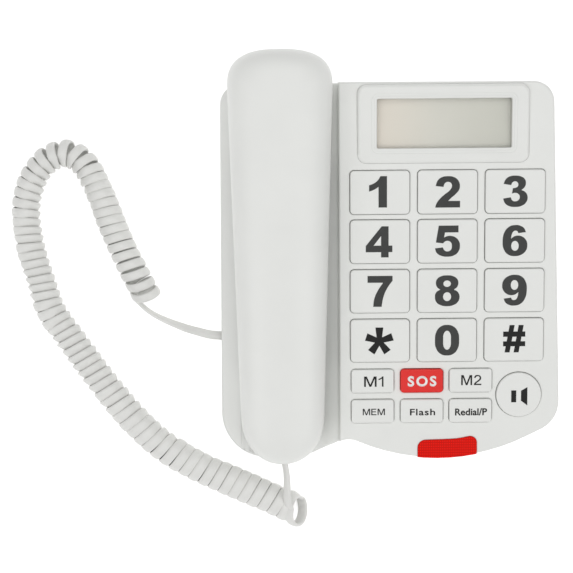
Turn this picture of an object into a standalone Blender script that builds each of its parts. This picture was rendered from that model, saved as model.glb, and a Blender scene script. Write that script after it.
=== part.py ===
"""A corded big-button desk telephone: sloping base, cradle, nineteen keys, handset and curly cord.

World axes: +X right and +Y rear, as someone at the telephone sees it, and +Z up from the table.
The origin is on the table, under the middle of the base and handset together.
Sizes below are in millimetres, and MM turns them into metres where a mesh is made.
The deck carries the keys and leans by TILT. Deck positions are (x, y, z) of an empty that lies
in the deck plane, with y up the slope and z out of the deck.
"""

from math import atan2, ceil, cos, pi, radians, sin, tan

import bmesh
import bpy
from mathutils import Matrix, Vector

MM = 0.001
GAP = 0.3
TILT = radians(8)
DECK_Z = 40.0

# Outline of the base, counter-clockwise from the right rear corner: x, y, corner radius.
BASE_OUTLINE = [
    (86.2, 92.3, 11),
    (-89.8, 92.7, 11),
    (-91.2, -107.1, 24.7),
    (-45.6, -107.2, 25),
    (-22.85, -96.5, 12),
    (28.97, -118.1, 108),
    (91.1, -88.1, 17),
]
ARC_STEP = radians(13)
KEY_ARC_STEP = radians(46)
WALL = 2.2
UNDERSIDE_Z = 2.5
FLOOR_Z = 5.3
SPLIT_Z = 6.8
RIM = 1.5

# The cradle's cross-section, from the deck's edge down to the trough and up to the left rim: x, z.
DIVIDER_X = -27.3
CRADLE = [
    (DIVIDER_X, 12.0),
    (DIVIDER_X - 0.1, -2.5),
    (-37.0, -8.5),
    (-75.4, -8.5),
    (-79.9, -3.3),
    (-86.0, -3.8),
    (-96.0, -8.6),
    (-96.0, 12.0),
]
CRADLE_UNDER = [
    (-25.0, 12.0),
    (-25.0, -4.9),
    (-35.9, -10.9),
    (-76.4, -10.9),
    (-80.8, -5.9),
    (-86.3, -6.2),
    (-98.0, -11.8),
    (-98.0, 12.0),
]
SEAT_Z = -12.0
SEAT_EDGE_Y = (43.0, -48.0)

# Keys: centre on the deck, and cap sizes.
DIAL_COLUMNS = (-5.6, 30.2, 66.0)
DIAL_ROWS = (34.9, 8.7, -17.9, -44.6)
DIAL_NAMES = (("1", "2", "3"), ("4", "5", "6"), ("7", "8", "9"), ("star", "0", "hash"))
DIAL_SIZE = (31.5, 23.7, 2.1)
FUNCTION_COLUMNS = (-9.6, 16.8, 43.0)
FUNCTION_ROWS = (-66.6, -83.1)
FUNCTION_NAMES = (("m1", "sos", "m2"), ("mem", "flash", "redial"))
FUNCTION_SIZE = (22.8, 13.3, 1.6)
SPEAKER_KEY = (68.9, -74.6)
SPEAKER_KEY_RADIUS = 12.1
KEY_TOP = 1.6
KEY_EDGE = 0.7
KEY_FLANGE = 0.9
KEY_FLANGE_Z = (-4.0, -2.5)
KEY_CLEARANCE = 0.4
MAT_PLAN = ((82, 50.5, 2), (-22.8, 50.5, 2), (-22.8, -91, 2), (73, -91, 2), (73, -81, 1), (82, -77, 1))
MAT_Z = (-6.9, -6.1)
DOME_TOP = -5.4
BOARD_Z = (-8.8, -7.2)
BOARD = (-19.0, 73.0, -84.0, 74.0)

# Display: centre y on the deck, window, frame plate and the parts under it.
DISPLAY_CENTRE = (28.4, 71.4)
WINDOW = (71.0, 26.0)
BEZEL = (90.8, 41.6, 5.0)
BEZEL_CENTRE = (27.9, 71.2)
BEZEL_Z = -0.9
BEZEL_TOP_AT = ((50.4, 0.4), (92.0, 3.0))
LENS = (74.0, 29.0)
LENS_Z = (-2.4, -1.2)
LCD = (77.0, 31.0)
LCD_Z = (-6.0, -2.8)

# Ring lamp: corners of its plan, from the right rear, which run past the front wall.
LAMP_PLAN = [
    (46.6, -95.4, 3.6),
    (36.0, -97.6, 40),
    (14.8, -98.2, 4.2),
    (14.8, -120.0, 1),
    (46.6, -120.0, 1),
]
LAMP_BOTTOM_Z = 15.0
LAMP_PROUD = 0.5
LAMP_WALL = 1.9

# Handset, along the slope from its cord end to its ear end, centred on HANDSET_X.
HANDSET_X = -58.0
NOSE_Y, EAR_Y = -108.5, 111.0
NOSE_LENGTH, NOSE_POWER = 26.0, 2.2
CROWN_LENGTH, CROWN_POWER = 20.0, 2.6
HALF_WIDTH_AT = ((-86.0, 22.1), (92.0, 27.4))
PARTING_Z = 10.0
BACK_Z_AT = ((-90.0, 23.5), (0.0, 27.5), (90.0, 27.0))
GRIP_Z = 4.0
CUP_Z = -10.7
EAR_CUP_Y, MOUTH_CUP_Y = 62.0, -66.0
CUP_SLOPE = 18.0
BACK_POWER, FRONT_POWER = 2.6, 3.5
CROWN_EDGE_POWER, NOSE_EDGE_POWER = 3.2, 5.0
HANDSET_WALL = 2.0
SECTION_SIDES = 12

# Modular cord plugs and their sockets: width, depth, height.
PLUG = (7.6, 12.0, 6.6)
JACK = (11.0, 14.0, 9.6)
LINE_JACK = (14.0, 14.0, 11.0)
LINE_SOCKET = (10.0, 12.0, 7.6)
BASE_JACK = (-88.2, -41.2, 12.0)
LINE_JACK_AT = (40.0, 89.6, 13.5)
HANDSET_JACK_Y, HANDSET_JACK_Z = -105.6, 3.0

# Cord: an oval wire, wound close for most of its length.
WIRE_RADIUS = 1.66
COIL_RADIUS = 7.4
COIL_Z = 7.7
COIL_ROUTE = [
    (-132.3, -15.8),
    (-142.0, 2.1),
    (-150.2, 19.1),
    (-156.8, 36.0),
    (-163.5, 51.5),
    (-169.7, 58.4),
    (-176.4, 60.2),
    (-183.0, 58.6),
    (-188.9, 54.2),
    (-195.2, 44.5),
    (-198.2, 30.0),
    (-196.4, 10.0),
    (-190.5, -10.0),
    (-184.3, -26.5),
    (-175.6, -41.8),
    (-165.0, -56.5),
    (-152.9, -71.6),
    (-139.2, -86.4),
    (-123.0, -100.4),
    (-104.3, -112.6),
    (-85.5, -121.8),
    (-68.1, -129.8),
    (-49.6, -138.4),
]
BASE_LEAD_ROUTE = [
    (-90.6, -41.2, 12.0),
    (-97.0, -40.2, 11.4),
    (-103.8, -38.3, 9.4),
    (-111.0, -36.0, 6.6),
    (-118.5, -33.0, 3.9),
    (-125.0, -29.4, 2.4),
    (-130.4, -24.8, 2.4),
    (-133.8, -20.2, 3.2),
    (-135.3, -17.7, 3.6),
]
HANDSET_LEAD_ROUTE = [
    (-58.0, -107.6, 27.9),
    (-57.9, -112.0, 27.2),
    (-57.5, -118.0, 26.0),
    (-57.1, -124.0, 23.9),
    (-56.8, -129.0, 21.0),
    (-56.5, -132.4, 18.2),
    (-56.4, -134.6, 15.7),
]

# Underneath: battery box, speaker, feet and screws.
BATTERY_BOX = (2.0, 54.0, -37.0, -1.0)
BATTERY_CEILING_Z = 16.5
BATTERY_CELL = (5.2, 44.5)
DOOR_TRAVEL = 6.0
SPEAKER_AT = (45.0, 46.0)
SPEAKER_RADIUS = 22.0
FEET = ((-78.0, -78.0), (76.0, -72.0), (-76.0, 76.0), (69.0, 74.0))
FOOT_RADIUS = 6.0
SCREWS = ((-58.0, -40.0), (-58.0, 36.0), (79.0, -86.5), (79.5, 82.5))
BOSS_RADIUS, BOSS_BORE, SCREW_RADIUS = 3.2, 1.7, 1.35
# How far below the deck's plane the screw bosses end: under the deck, and under the cradle.
BOSS_TOP_UNDER_DECK, BOSS_TOP_UNDER_CRADLE = 1.2, 9.6
SCREW_HEAD_RECESS = 3.1
UNDERSIDE_RECESS_Z = 3.9
GRILLE_SLOT, GRILLE_PITCH, GRILLE_SLOTS_PER_SIDE = 2.2, 5.0, 3
# Openings in the base's walls for the handset cord, the line cord and the switch: size and centre.
PORTS = (
    ((8.0, 8.4, 7.4), (-91.0, -41.2, 12.0)),
    ((10.6, 8.0, 8.2), (40.0, 92.5, 13.5)),
    ((8.0, 9.0, 3.4), (89.0, 20.0, 22.0)),
)
PLUNGER_SLOT = (9.4, 5.4, 14.0)
HANDSET_SCREWS_Y = (-40.0, 40.0)
PLUNGER_AT = (-58.0, 66.0)
SWITCH_AT = (85.5, 20.0, 22.0)

SHELL, KEY, RED, LAMP, RUBBER, WINDOW_CLEAR, LCD_GREY, BOARD_GREEN, STEEL, BLACK, CORD = (
    "warm_white_abs",
    "key_abs",
    "red_key_abs",
    "red_polycarbonate",
    "grey_rubber",
    "clear_acrylic",
    "lcd_glass",
    "circuit_board",
    "zinc_plated_steel",
    "black_abs",
    "cord_pvc",
)
MATERIALS = {
    SHELL: ((0.72, 0.72, 0.70, 1), 0.45, 0.0),
    KEY: ((0.74, 0.74, 0.72, 1), 0.40, 0.0),
    RED: ((0.80, 0.05, 0.03, 1), 0.40, 0.0),
    LAMP: ((0.75, 0.02, 0.01, 1), 0.15, 0.0),
    RUBBER: ((0.20, 0.20, 0.20, 1), 0.85, 0.0),
    WINDOW_CLEAR: ((0.75, 0.72, 0.63, 1), 0.10, 0.0),
    LCD_GREY: ((0.55, 0.53, 0.45, 1), 0.30, 0.0),
    BOARD_GREEN: ((0.04, 0.20, 0.09, 1), 0.50, 0.0),
    STEEL: ((0.60, 0.60, 0.60, 1), 0.35, 1.0),
    BLACK: ((0.03, 0.03, 0.03, 1), 0.50, 0.0),
    CORD: ((0.66, 0.66, 0.65, 1), 0.50, 0.0),
}


# Scene, collections and materials


def clear_scene():
    for thing in list(bpy.data.objects):
        bpy.data.objects.remove(thing, do_unlink=True)


def new_collection(name):
    collection = bpy.data.collections.new(name)
    bpy.context.scene.collection.children.link(collection)
    return collection


def new_material(name, colour, roughness, metallic):
    material = bpy.data.materials.new(name)
    material.use_nodes = True
    shader = material.node_tree.nodes["Principled BSDF"]
    shader.inputs["Base Color"].default_value = colour
    shader.inputs["Roughness"].default_value = roughness
    shader.inputs["Metallic"].default_value = metallic
    return material


clear_scene()
PARTS = new_collection("desk_telephone")
CUTTERS = new_collection("cutters")
FINISHES = {name: new_material(name, *look) for name, look in MATERIALS.items()}


def new_empty(name, parent=None, location=(0, 0, 0)):
    empty = bpy.data.objects.new(name, None)
    empty.empty_display_size = 0.02
    empty.location = Vector(location) * MM
    empty.parent = parent
    PARTS.objects.link(empty)
    return empty


DECK = new_empty("deck_plane", location=(0, 0, DECK_Z))
DECK.rotation_euler.x = TILT
HANDSET = new_empty("handset_lift", parent=DECK, location=(HANDSET_X, 0, 0))


def finish_mesh(work, name):
    """A mesh from a bmesh, with its faces turned outwards and its gentle edges smooth."""
    bmesh.ops.recalc_face_normals(work, faces=work.faces)
    mesh = bpy.data.meshes.new(name)
    work.to_mesh(mesh)
    work.free()
    mesh.shade_smooth()
    mesh.set_sharp_from_angle(angle=radians(35))
    return mesh


def new_part(name, work, finish, parent=None, location=(0, 0, 0), turn=(0, 0, 0)):
    """A named object, one node of the telephone, from a bmesh or from a mesh that it shares."""
    mesh = work if isinstance(work, bpy.types.Mesh) else finish_mesh(work, name)
    if not mesh.materials:
        mesh.materials.append(FINISHES[finish])
    part = bpy.data.objects.new(name, mesh)
    part.parent = parent
    part.location = Vector(location) * MM
    part.rotation_euler = turn
    PARTS.objects.link(part)
    return part


def new_cutter(name, work, parent=None, location=(0, 0, 0)):
    cutter = bpy.data.objects.new(name, finish_mesh(work, name))
    cutter.parent = parent
    cutter.location = Vector(location) * MM
    cutter.hide_render = True
    cutter.display_type = "WIRE"
    CUTTERS.objects.link(cutter)
    return cutter


def combine(part, other, operation="DIFFERENCE"):
    boolean = part.modifiers.new(f"{operation.lower()} {other.name}", "BOOLEAN")
    boolean.operation = operation
    boolean.object = other


# Shapes


def rounded(corners, inset=0.0, step=ARC_STEP):
    """The points of a closed outline whose corners are arcs, moved inwards by inset."""
    points = []
    count = len(corners)
    for i in range(count):
        before, here, after = (Vector(corners[(i + k) % count][:2]) for k in (-1, 0, 1))
        along_in = (here - before).normalized()
        along_out = (after - here).normalized()
        turn = atan2(along_in.cross(along_out), along_in.dot(along_out))
        side = 1 if turn > 0 else -1
        radius = max(corners[i][2] - inset * side, 0.05)
        left_in = Vector((-along_in.y, along_in.x))
        left_out = Vector((-along_out.y, along_out.x))
        inwards = (left_in + left_out) / (1 + left_in.dot(left_out))
        centre = here + inwards * (inset + radius * side)
        steps = max(1, ceil(abs(turn) / step))
        for k in range(steps + 1):
            arm = Matrix.Rotation(turn * k / steps, 2) @ (left_in * -radius * side)
            points.append(centre + arm)
    return points


def rectangle(width, height, radius=0.5, centre=(0, 0)):
    """The corners of a rounded rectangle, for rounded()."""
    x, y = centre
    a, b = width / 2, height / 2
    return [(x + a, y + b, radius), (x - a, y + b, radius), (x - a, y - b, radius), (x + a, y - b, radius)]


def level(points, z):
    return [(x, y, z) for x, y in points]


def deck_z(y):
    return DECK_Z + tan(TILT) * y


def below_deck(points, depth):
    return [(x, y, deck_z(y) - depth) for x, y in points]


def add_loft(work, rings):
    """Adds a closed skin through rings of equally many points, with a flat face at each end."""
    rows = [[work.verts.new(Vector(point) * MM) for point in ring] for ring in rings]
    for low, high in zip(rows, rows[1:]):
        for a in range(len(low)):
            b = (a + 1) % len(low)
            work.faces.new((low[a], low[b], high[b], high[a]))
    work.faces.new(rows[0][::-1])
    work.faces.new(rows[-1])
    return work


def loft(rings):
    return add_loft(bmesh.new(), rings)


def add_box(work, size, centre=(0, 0, 0)):
    place = Matrix.Translation(Vector(centre) * MM) @ Matrix.Diagonal((*(Vector(size) * MM), 1))
    bmesh.ops.create_cube(work, size=1, matrix=place)
    return work


def box(size, centre=(0, 0, 0)):
    return add_box(bmesh.new(), size, centre)


def add_cylinder(work, radius, z0, z1, centre=(0, 0), sides=16):
    """A cylinder, turned a little so that its corners miss the edges of what it meets."""
    place = Matrix.Translation(Vector((*centre, (z0 + z1) / 2)) * MM) @ Matrix.Rotation(0.2, 4, "Z")
    bmesh.ops.create_cone(
        work, cap_ends=True, segments=sides, radius1=radius * MM, radius2=radius * MM,
        depth=(z1 - z0) * MM, matrix=place,
    )
    return work


def turned(name, profile, finish, sides=20, **place):
    """A turned piece: a profile of (radius, z) from top to bottom, spun about Z by a Screw."""
    work = bmesh.new()
    points = [work.verts.new((radius * MM, 0, z * MM)) for radius, z in profile]
    for a, b in zip(points, points[1:]):
        work.edges.new((a, b))
    part = new_part(name, work, finish, **place)
    screw = part.modifiers.new("turn", "SCREW")
    screw.steps = sides
    screw.render_steps = sides
    screw.use_merge_vertices = True
    screw.merge_threshold = 0.00001
    return part


def smooth_route(points, spacing):
    """Evenly spaced points on a Catmull-Rom curve through a hand-laid route."""
    points = [Vector(point) for point in points]
    points = [2 * points[0] - points[1], *points, 2 * points[-1] - points[-2]]
    fine = []
    for a, b, c, d in zip(points, points[1:], points[2:], points[3:]):
        for k in range(20):
            t = k / 20
            square = (2 * a - 5 * b + 4 * c - d) * t**2
            cube = (3 * b - a - 3 * c + d) * t**3
            fine.append(0.5 * (2 * b + (c - a) * t + square + cube))
    fine.append(points[-2])
    lengths = [0.0]
    for a, b in zip(fine, fine[1:]):
        lengths.append(lengths[-1] + (b - a).length)
    count = ceil(lengths[-1] / spacing)
    route = []
    at = 0
    for k in range(count + 1):
        target = lengths[-1] * k / count
        while at < len(fine) - 2 and lengths[at + 1] < target:
            at += 1
        share = (target - lengths[at]) / (lengths[at + 1] - lengths[at])
        route.append(fine[at].lerp(fine[at + 1], share))
    return route


def tube(name, points, radius, resolution, finish):
    curve = bpy.data.curves.new(name, "CURVE")
    curve.dimensions = "3D"
    curve.bevel_depth = radius * MM
    curve.bevel_resolution = resolution
    curve.use_fill_caps = True
    spline = curve.splines.new("POLY")
    spline.points.add(len(points) - 1)
    for place, point in zip(spline.points, points):
        place.co = (*(point * MM), 1)
    curve.materials.append(FINISHES[finish])
    part = bpy.data.objects.new(name, curve)
    PARTS.objects.link(part)
    return part


# Base


def bar(profile, y0, y1):
    """A bar along the deck's y with a cross-section of (x, z) points."""
    return loft([[(x, y, z) for x, z in profile] for y in (y1, y0)])


def seat_plan(rear, grow):
    """The plan of the hollow that takes an end of the handset, in handset x and deck y."""
    inset = 0.6 - grow
    edge = SEAT_EDGE_Y[0] - grow if rear else SEAT_EDGE_Y[1] + grow
    tip = EAR_Y if rear else NOSE_Y
    round_length = CROWN_LENGTH if rear else NOSE_LENGTH
    shoulder = tip - round_length if rear else tip + round_length
    along = [edge, shoulder] + [shoulder + (tip - shoulder) * sin(k * pi / 10) for k in range(1, 5)]
    along.append(shoulder + (tip - shoulder) * 0.992)
    beyond = grow if rear else 0.0
    right = [(half_width(edge) - inset, edge)]
    right += [(half_width(y) - inset, y + beyond) for y in along[1:]]
    outline = right + [(-x, y) for x, y in reversed(right)]
    return [(x + HANDSET_X, y) for x, y in outline]


def add_seats(work, floor_z, grow=0.0):
    for rear in (True, False):
        plan = seat_plan(rear, grow)
        add_loft(work, [level(plan, floor_z), level(plan, 14.0)])
    return work


def base_cavity():
    """The inside of the base: open below, under the deck, the trough and the seats."""
    cavity = new_cutter(
        "cutter_base_cavity",
        loft([level(rounded(BASE_OUTLINE, WALL), 0.0), below_deck(rounded(BASE_OUTLINE, WALL), WALL)]),
    )
    combine(cavity, new_cutter("cutter_trough_under", bar(CRADLE_UNDER, -130, 130), DECK))
    combine(cavity, new_cutter("cutter_seats_under", add_seats(bmesh.new(), SEAT_Z - WALL, WALL), DECK))
    return cavity


def key_places():
    """Each key's name, centre on the deck and cap corners."""
    for names, y in zip(DIAL_NAMES, DIAL_ROWS):
        for name, x in zip(names, DIAL_COLUMNS):
            yield f"key_{name}", (x, y), DIAL_SIZE
    for names, y in zip(FUNCTION_NAMES, FUNCTION_ROWS):
        for name, x in zip(names, FUNCTION_COLUMNS):
            yield f"key_{name}", (x, y), FUNCTION_SIZE


def key_wells():
    work = bmesh.new()
    for _, centre, (width, height, radius) in key_places():
        wide = rectangle(width + 2 * KEY_CLEARANCE, height + 2 * KEY_CLEARANCE, radius, centre)
        plan = rounded(wide, step=KEY_ARC_STEP)
        add_loft(work, [level(plan, -8.0), level(plan, 6.0)])
    add_cylinder(work, SPEAKER_KEY_RADIUS + KEY_CLEARANCE, -8.0, 6.0, SPEAKER_KEY, 24)
    return work


def lamp_prism(grow, z0=LAMP_BOTTOM_Z, z1=60.0):
    plan = rounded(LAMP_PLAN, -grow, radians(30))
    return loft([level(plan, z0 - grow), level(plan, z1)])


def base_upper_shell():
    rings = [
        level(rounded(BASE_OUTLINE), SPLIT_Z + GAP),
        below_deck(rounded(BASE_OUTLINE), RIM),
        below_deck(rounded(BASE_OUTLINE, 0.3 * RIM), 0.3 * RIM),
        below_deck(rounded(BASE_OUTLINE, RIM), 0.0),
    ]
    shell = new_part("base_upper_shell", loft(rings), SHELL)
    combine(shell, new_cutter("cutter_trough", bar(CRADLE, -131, 131), DECK))
    combine(shell, new_cutter("cutter_seats", add_seats(bmesh.new(), SEAT_Z), DECK))
    combine(shell, base_cavity())
    combine(shell, new_cutter("cutter_key_wells", key_wells(), DECK))

    display = bmesh.new()
    plan = rectangle(BEZEL[0] + 2 * GAP, BEZEL[1] + 2 * GAP, BEZEL[2], BEZEL_CENTRE)
    recess = rounded(plan, step=radians(30))
    add_loft(display, [level(recess, BEZEL_Z - GAP), level(recess, 8.0)])
    combine(shell, new_cutter("cutter_bezel_recess", display, DECK))
    opening = bmesh.new()
    add_box(opening, (LENS[0] + 2 * GAP, LENS[1] + 2 * GAP, 9.0), (*DISPLAY_CENTRE, 0))
    combine(shell, new_cutter("cutter_display_opening", opening, DECK))
    combine(shell, new_cutter("cutter_lamp", lamp_prism(GAP)))

    bosses = bmesh.new()
    bores = bmesh.new()
    for x, y in SCREWS:
        roof = deck_z(y) - (BOSS_TOP_UNDER_DECK if x > DIVIDER_X else BOSS_TOP_UNDER_CRADLE)
        add_cylinder(bosses, BOSS_RADIUS, SPLIT_Z + GAP + 0.4, roof, (x, y), 12)
        add_cylinder(bores, BOSS_BORE, 0.0, 20.0, (x, y), 10)
    combine(shell, new_cutter("joiner_screw_bosses", bosses), "UNION")
    combine(shell, new_cutter("cutter_boss_bores", bores))

    ports = bmesh.new()
    for size, centre in PORTS:
        add_box(ports, size, centre)
    combine(shell, new_cutter("cutter_ports", ports))
    slot = box(PLUNGER_SLOT, (*PLUNGER_AT, SEAT_Z))
    combine(shell, new_cutter("cutter_plunger_slot", slot, DECK))


def base_lower_shell():
    rings = [
        level(rounded(BASE_OUTLINE, 2.2), UNDERSIDE_Z),
        level(rounded(BASE_OUTLINE, 0.9), UNDERSIDE_Z + 0.6),
        level(rounded(BASE_OUTLINE, 0.3), UNDERSIDE_Z + 2.0),
        level(rounded(BASE_OUTLINE, 0.3), SPLIT_Z),
    ]
    shell = new_part("base_lower_shell", loft(rings), SHELL)
    inside = rounded(BASE_OUTLINE, WALL + 0.3)
    combine(shell, new_cutter("cutter_lower_cavity", loft([level(inside, FLOOR_Z), level(inside, 12.0)])))

    x0, x1, y0, y1 = BATTERY_BOX
    middle = ((x0 + x1) / 2, (y0 + y1) / 2)
    walls = box((x1 - x0 + 3, y1 - y0 + 3, 14.5), (*middle, BATTERY_CEILING_Z + 1.5 - 7.25))
    combine(shell, new_cutter("joiner_battery_box", walls), "UNION")
    room = box((x1 - x0, y1 - y0, 20), (*middle, BATTERY_CEILING_Z - 10))
    combine(shell, new_cutter("cutter_battery_box", room))
    width, depth = x1 - x0 + 5, y1 - y0 + 5
    recess = box((width, depth + DOOR_TRAVEL, 8.0), (middle[0], middle[1] - DOOR_TRAVEL / 2, 4.3 - 4.0))
    combine(shell, new_cutter("cutter_door_recess", recess))

    under = bmesh.new()
    for x, y in FEET:
        add_cylinder(under, FOOT_RADIUS + GAP, 0.0, UNDERSIDE_RECESS_Z, (x, y), 20)
    for x, y in SCREWS:
        add_cylinder(under, SCREW_HEAD_RECESS, 0.0, UNDERSIDE_RECESS_Z, (x, y), 12)
    combine(shell, new_cutter("cutter_underside", under))
    holes = bmesh.new()
    for x, y in SCREWS:
        add_cylinder(holes, BOSS_BORE, 1.0, 12.0, (x, y), 10)
    for k in range(-GRILLE_SLOTS_PER_SIDE, GRILLE_SLOTS_PER_SIDE + 1):
        length = 2 * (SPEAKER_RADIUS - 6) * cos(k * 0.33)
        add_box(holes, (length, GRILLE_SLOT, 8.0), (SPEAKER_AT[0], SPEAKER_AT[1] + GRILLE_PITCH * k, 4.0))
    combine(shell, new_cutter("cutter_underside_holes", holes))


def battery_door_and_cells():
    x0, x1, y0, y1 = BATTERY_BOX
    middle = ((x0 + x1) / 2, (y0 + y1) / 2)
    plan = rectangle(x1 - x0 + 5 - 2 * GAP, y1 - y0 + 5 - 2 * GAP, 1.5)
    door = loft([level(rounded(plan, step=KEY_ARC_STEP), z) for z in (0, 1.4)])
    new_part("battery_door", door, SHELL, location=(*middle, UNDERSIDE_Z + 0.1))
    radius, length = BATTERY_CELL
    profile = [
        (0, length), (1.9, length), (1.9, length - 1), (radius, length - 1), (radius, 0), (0, 0),
    ]
    for k in range(3):
        y = middle[1] + (k - 1) * (2 * radius + 0.8)
        turned(
            f"battery_cell_{k + 1}", profile, STEEL, 14,
            location=(x0 + 3.5, y, BATTERY_CEILING_Z - radius - 0.6), turn=(0, pi / 2, 0),
        )


def feet_and_screws():
    foot = [(0, 3.6), (FOOT_RADIUS, 3.6), (FOOT_RADIUS, 0.8), (FOOT_RADIUS - 0.8, 0), (0, 0)]
    for k, place in enumerate(FEET):
        turned(f"foot_{k + 1}", foot, RUBBER, 18, location=(*place, 0))
    screw = [(0, 14), (SCREW_RADIUS, 13), (SCREW_RADIUS, 0), (2.7, 0), (2.7, -1.1), (2.1, -1.7), (0, -1.7)]
    for k, place in enumerate(SCREWS):
        turned(f"base_screw_{k + 1}", screw, STEEL, 10, location=(*place, UNDERSIDE_RECESS_Z - GAP))


def keys():
    shared = {}
    for name, centre, size in key_places():
        work = shared.get(size)
        if work is None or name == "key_sos":
            width, height, radius = size
            wide = rectangle(width + 2 * KEY_FLANGE, height + 2 * KEY_FLANGE, radius)
            flange = rounded(wide, step=KEY_ARC_STEP)
            cap = rounded(rectangle(width, height, radius), step=KEY_ARC_STEP)
            top = rounded(rectangle(width, height, radius), KEY_EDGE, KEY_ARC_STEP)
            low, high = KEY_FLANGE_Z
            work = finish_mesh(
                loft([
                    level(flange, low), level(flange, high), level(cap, high),
                    level(cap, KEY_TOP - KEY_EDGE), level(top, KEY_TOP),
                ]),
                name,
            )
        if name != "key_sos":
            shared[size] = work
        new_part(name, work, RED if name == "key_sos" else KEY, DECK, (*centre, 0))
    radius = SPEAKER_KEY_RADIUS
    low, high = KEY_FLANGE_Z
    profile = [
        (0, KEY_TOP), (radius - KEY_EDGE, KEY_TOP), (radius, KEY_TOP - KEY_EDGE), (radius, high),
        (radius + KEY_FLANGE, high), (radius + KEY_FLANGE, low), (0, low),
    ]
    turned("key_speaker", profile, KEY, 24, parent=DECK, location=(*SPEAKER_KEY, 0))


def key_mat_and_board():
    plan = rounded(MAT_PLAN, step=KEY_ARC_STEP)
    mat = new_part("key_mat", loft([level(plan, z) for z in MAT_Z]), RUBBER, DECK)
    domes = bmesh.new()
    centres = [centre for _, centre, _ in key_places()] + [SPEAKER_KEY]
    for centre in centres:
        add_cylinder(domes, 3.5, MAT_Z[0] + 0.2, DOME_TOP, centre, 8)
    combine(mat, new_cutter("joiner_mat_domes", domes, DECK), "UNION")
    x0, x1, y0, y1 = BOARD
    size = (x1 - x0, y1 - y0, BOARD_Z[1] - BOARD_Z[0])
    new_part("main_board", box(size, ((x0 + x1) / 2, (y0 + y1) / 2, sum(BOARD_Z) / 2)), BOARD_GREEN, DECK)


def bezel_top(y):
    """The height of the display's frame over the deck, which rises towards the rear."""
    return between(BEZEL_TOP_AT, y)


def display():
    plan = rectangle(*BEZEL, BEZEL_CENTRE)
    step = radians(30)
    bezel = loft([
        level(rounded(plan, step=step), BEZEL_Z),
        [(x, y, 0.2 * bezel_top(y)) for x, y in rounded(plan, step=step)],
        [(x, y, 0.8 * bezel_top(y)) for x, y in rounded(plan, 0.7, step)],
        [(x, y, bezel_top(y)) for x, y in rounded(plan, 2.0, step)],
    ])
    frame = new_part("display_bezel", bezel, SHELL, DECK)
    hole = rectangle(*WINDOW, 1.0, DISPLAY_CENTRE)
    cut = loft([
        level(rounded(hole, step=step), -4.0),
        [(x, y, bezel_top(y) - 0.6) for x, y in rounded(hole, step=step)],
        [(x, y, bezel_top(y) + 2.0) for x, y in rounded(hole, -2.6, step)],
    ])
    combine(frame, new_cutter("cutter_window", cut, DECK))
    for name, plan, (low, high), finish in (
        ("display_lens", LENS, LENS_Z, WINDOW_CLEAR),
        ("lcd_panel", LCD, LCD_Z, LCD_GREY),
    ):
        new_part(name, box((*plan, high - low), (*DISPLAY_CENTRE, (low + high) / 2)), finish, DECK)


def ring_lamp():
    proud = -LAMP_PROUD
    rings = [
        level(rounded(BASE_OUTLINE, proud), 0.0),
        below_deck(rounded(BASE_OUTLINE, proud), RIM - LAMP_PROUD),
        below_deck(rounded(BASE_OUTLINE, 0.3 * RIM + proud), 0.3 * RIM - LAMP_PROUD),
        below_deck(rounded(BASE_OUTLINE, RIM + proud), proud),
    ]
    lens = new_part("ring_lamp_lens", loft(rings), LAMP)
    combine(lens, new_cutter("cutter_lamp_plan", lamp_prism(0.0)), "INTERSECT")
    inside = rounded(BASE_OUTLINE, LAMP_WALL)
    hollow = loft([level(inside, -2.0), below_deck(inside, LAMP_WALL)])
    combine(lens, new_cutter("cutter_lamp_hollow", hollow))
    new_part("ring_led", box((5.0, 3.0, 3.0)), WINDOW_CLEAR, location=(30.7, -99.5, 17.5))


def speaker_and_jacks():
    radius = SPEAKER_RADIUS
    profile = [(0, 10), (9, 10), (9, 5), (radius - 2, 2), (radius, 1.6), (radius, 0), (0, 0)]
    turned("base_speaker", profile, STEEL, 24, location=(*SPEAKER_AT, FLOOR_Z + GAP))
    modular_jack("base_cord_jack", JACK, socket_for(PLUG), location=BASE_JACK, turn=(0, 0, -pi / 2))
    modular_jack("line_jack", LINE_JACK, LINE_SOCKET, location=LINE_JACK_AT, turn=(0, 0, pi))
    place = (0, HANDSET_JACK_Y, HANDSET_JACK_Z)
    modular_jack("handset_cord_jack", JACK, socket_for(PLUG), parent=HANDSET, location=place)


def socket_for(plug):
    return (plug[0] + 2 * GAP, plug[1] + 0.3, plug[2] + 2 * GAP)


def modular_jack(name, size, socket, **place):
    """A jack whose mouth is at its origin and faces -Y."""
    jack = new_part(name, box(size, (0, size[1] / 2, 0)), BLACK, **place)
    hollow = box((socket[0], 2 * socket[1], socket[2]))
    cutter = new_cutter(f"cutter_{name}", hollow, place.get("parent"), place["location"])
    cutter.rotation_euler = place.get("turn", (0, 0, 0))
    combine(jack, cutter)


def hook_plunger():
    """The post under the ear cup, and its flange below the seat's floor."""
    work = loft([
        level(rounded(rectangle(12.0, 8.0, 1), step=KEY_ARC_STEP), -20.0),
        level(rounded(rectangle(12.0, 8.0, 1), step=KEY_ARC_STEP), -18.8),
        level(rounded(rectangle(8.6, 4.6, 1), step=KEY_ARC_STEP), -18.8),
        level(rounded(rectangle(8.6, 4.6, 1), step=KEY_ARC_STEP), -11.8),
        level(rounded(rectangle(8.6, 4.6, 1), 0.8, KEY_ARC_STEP), -11.0),
    ])
    new_part("hook_plunger", work, SHELL, DECK, (*PLUNGER_AT, 0))


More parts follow.
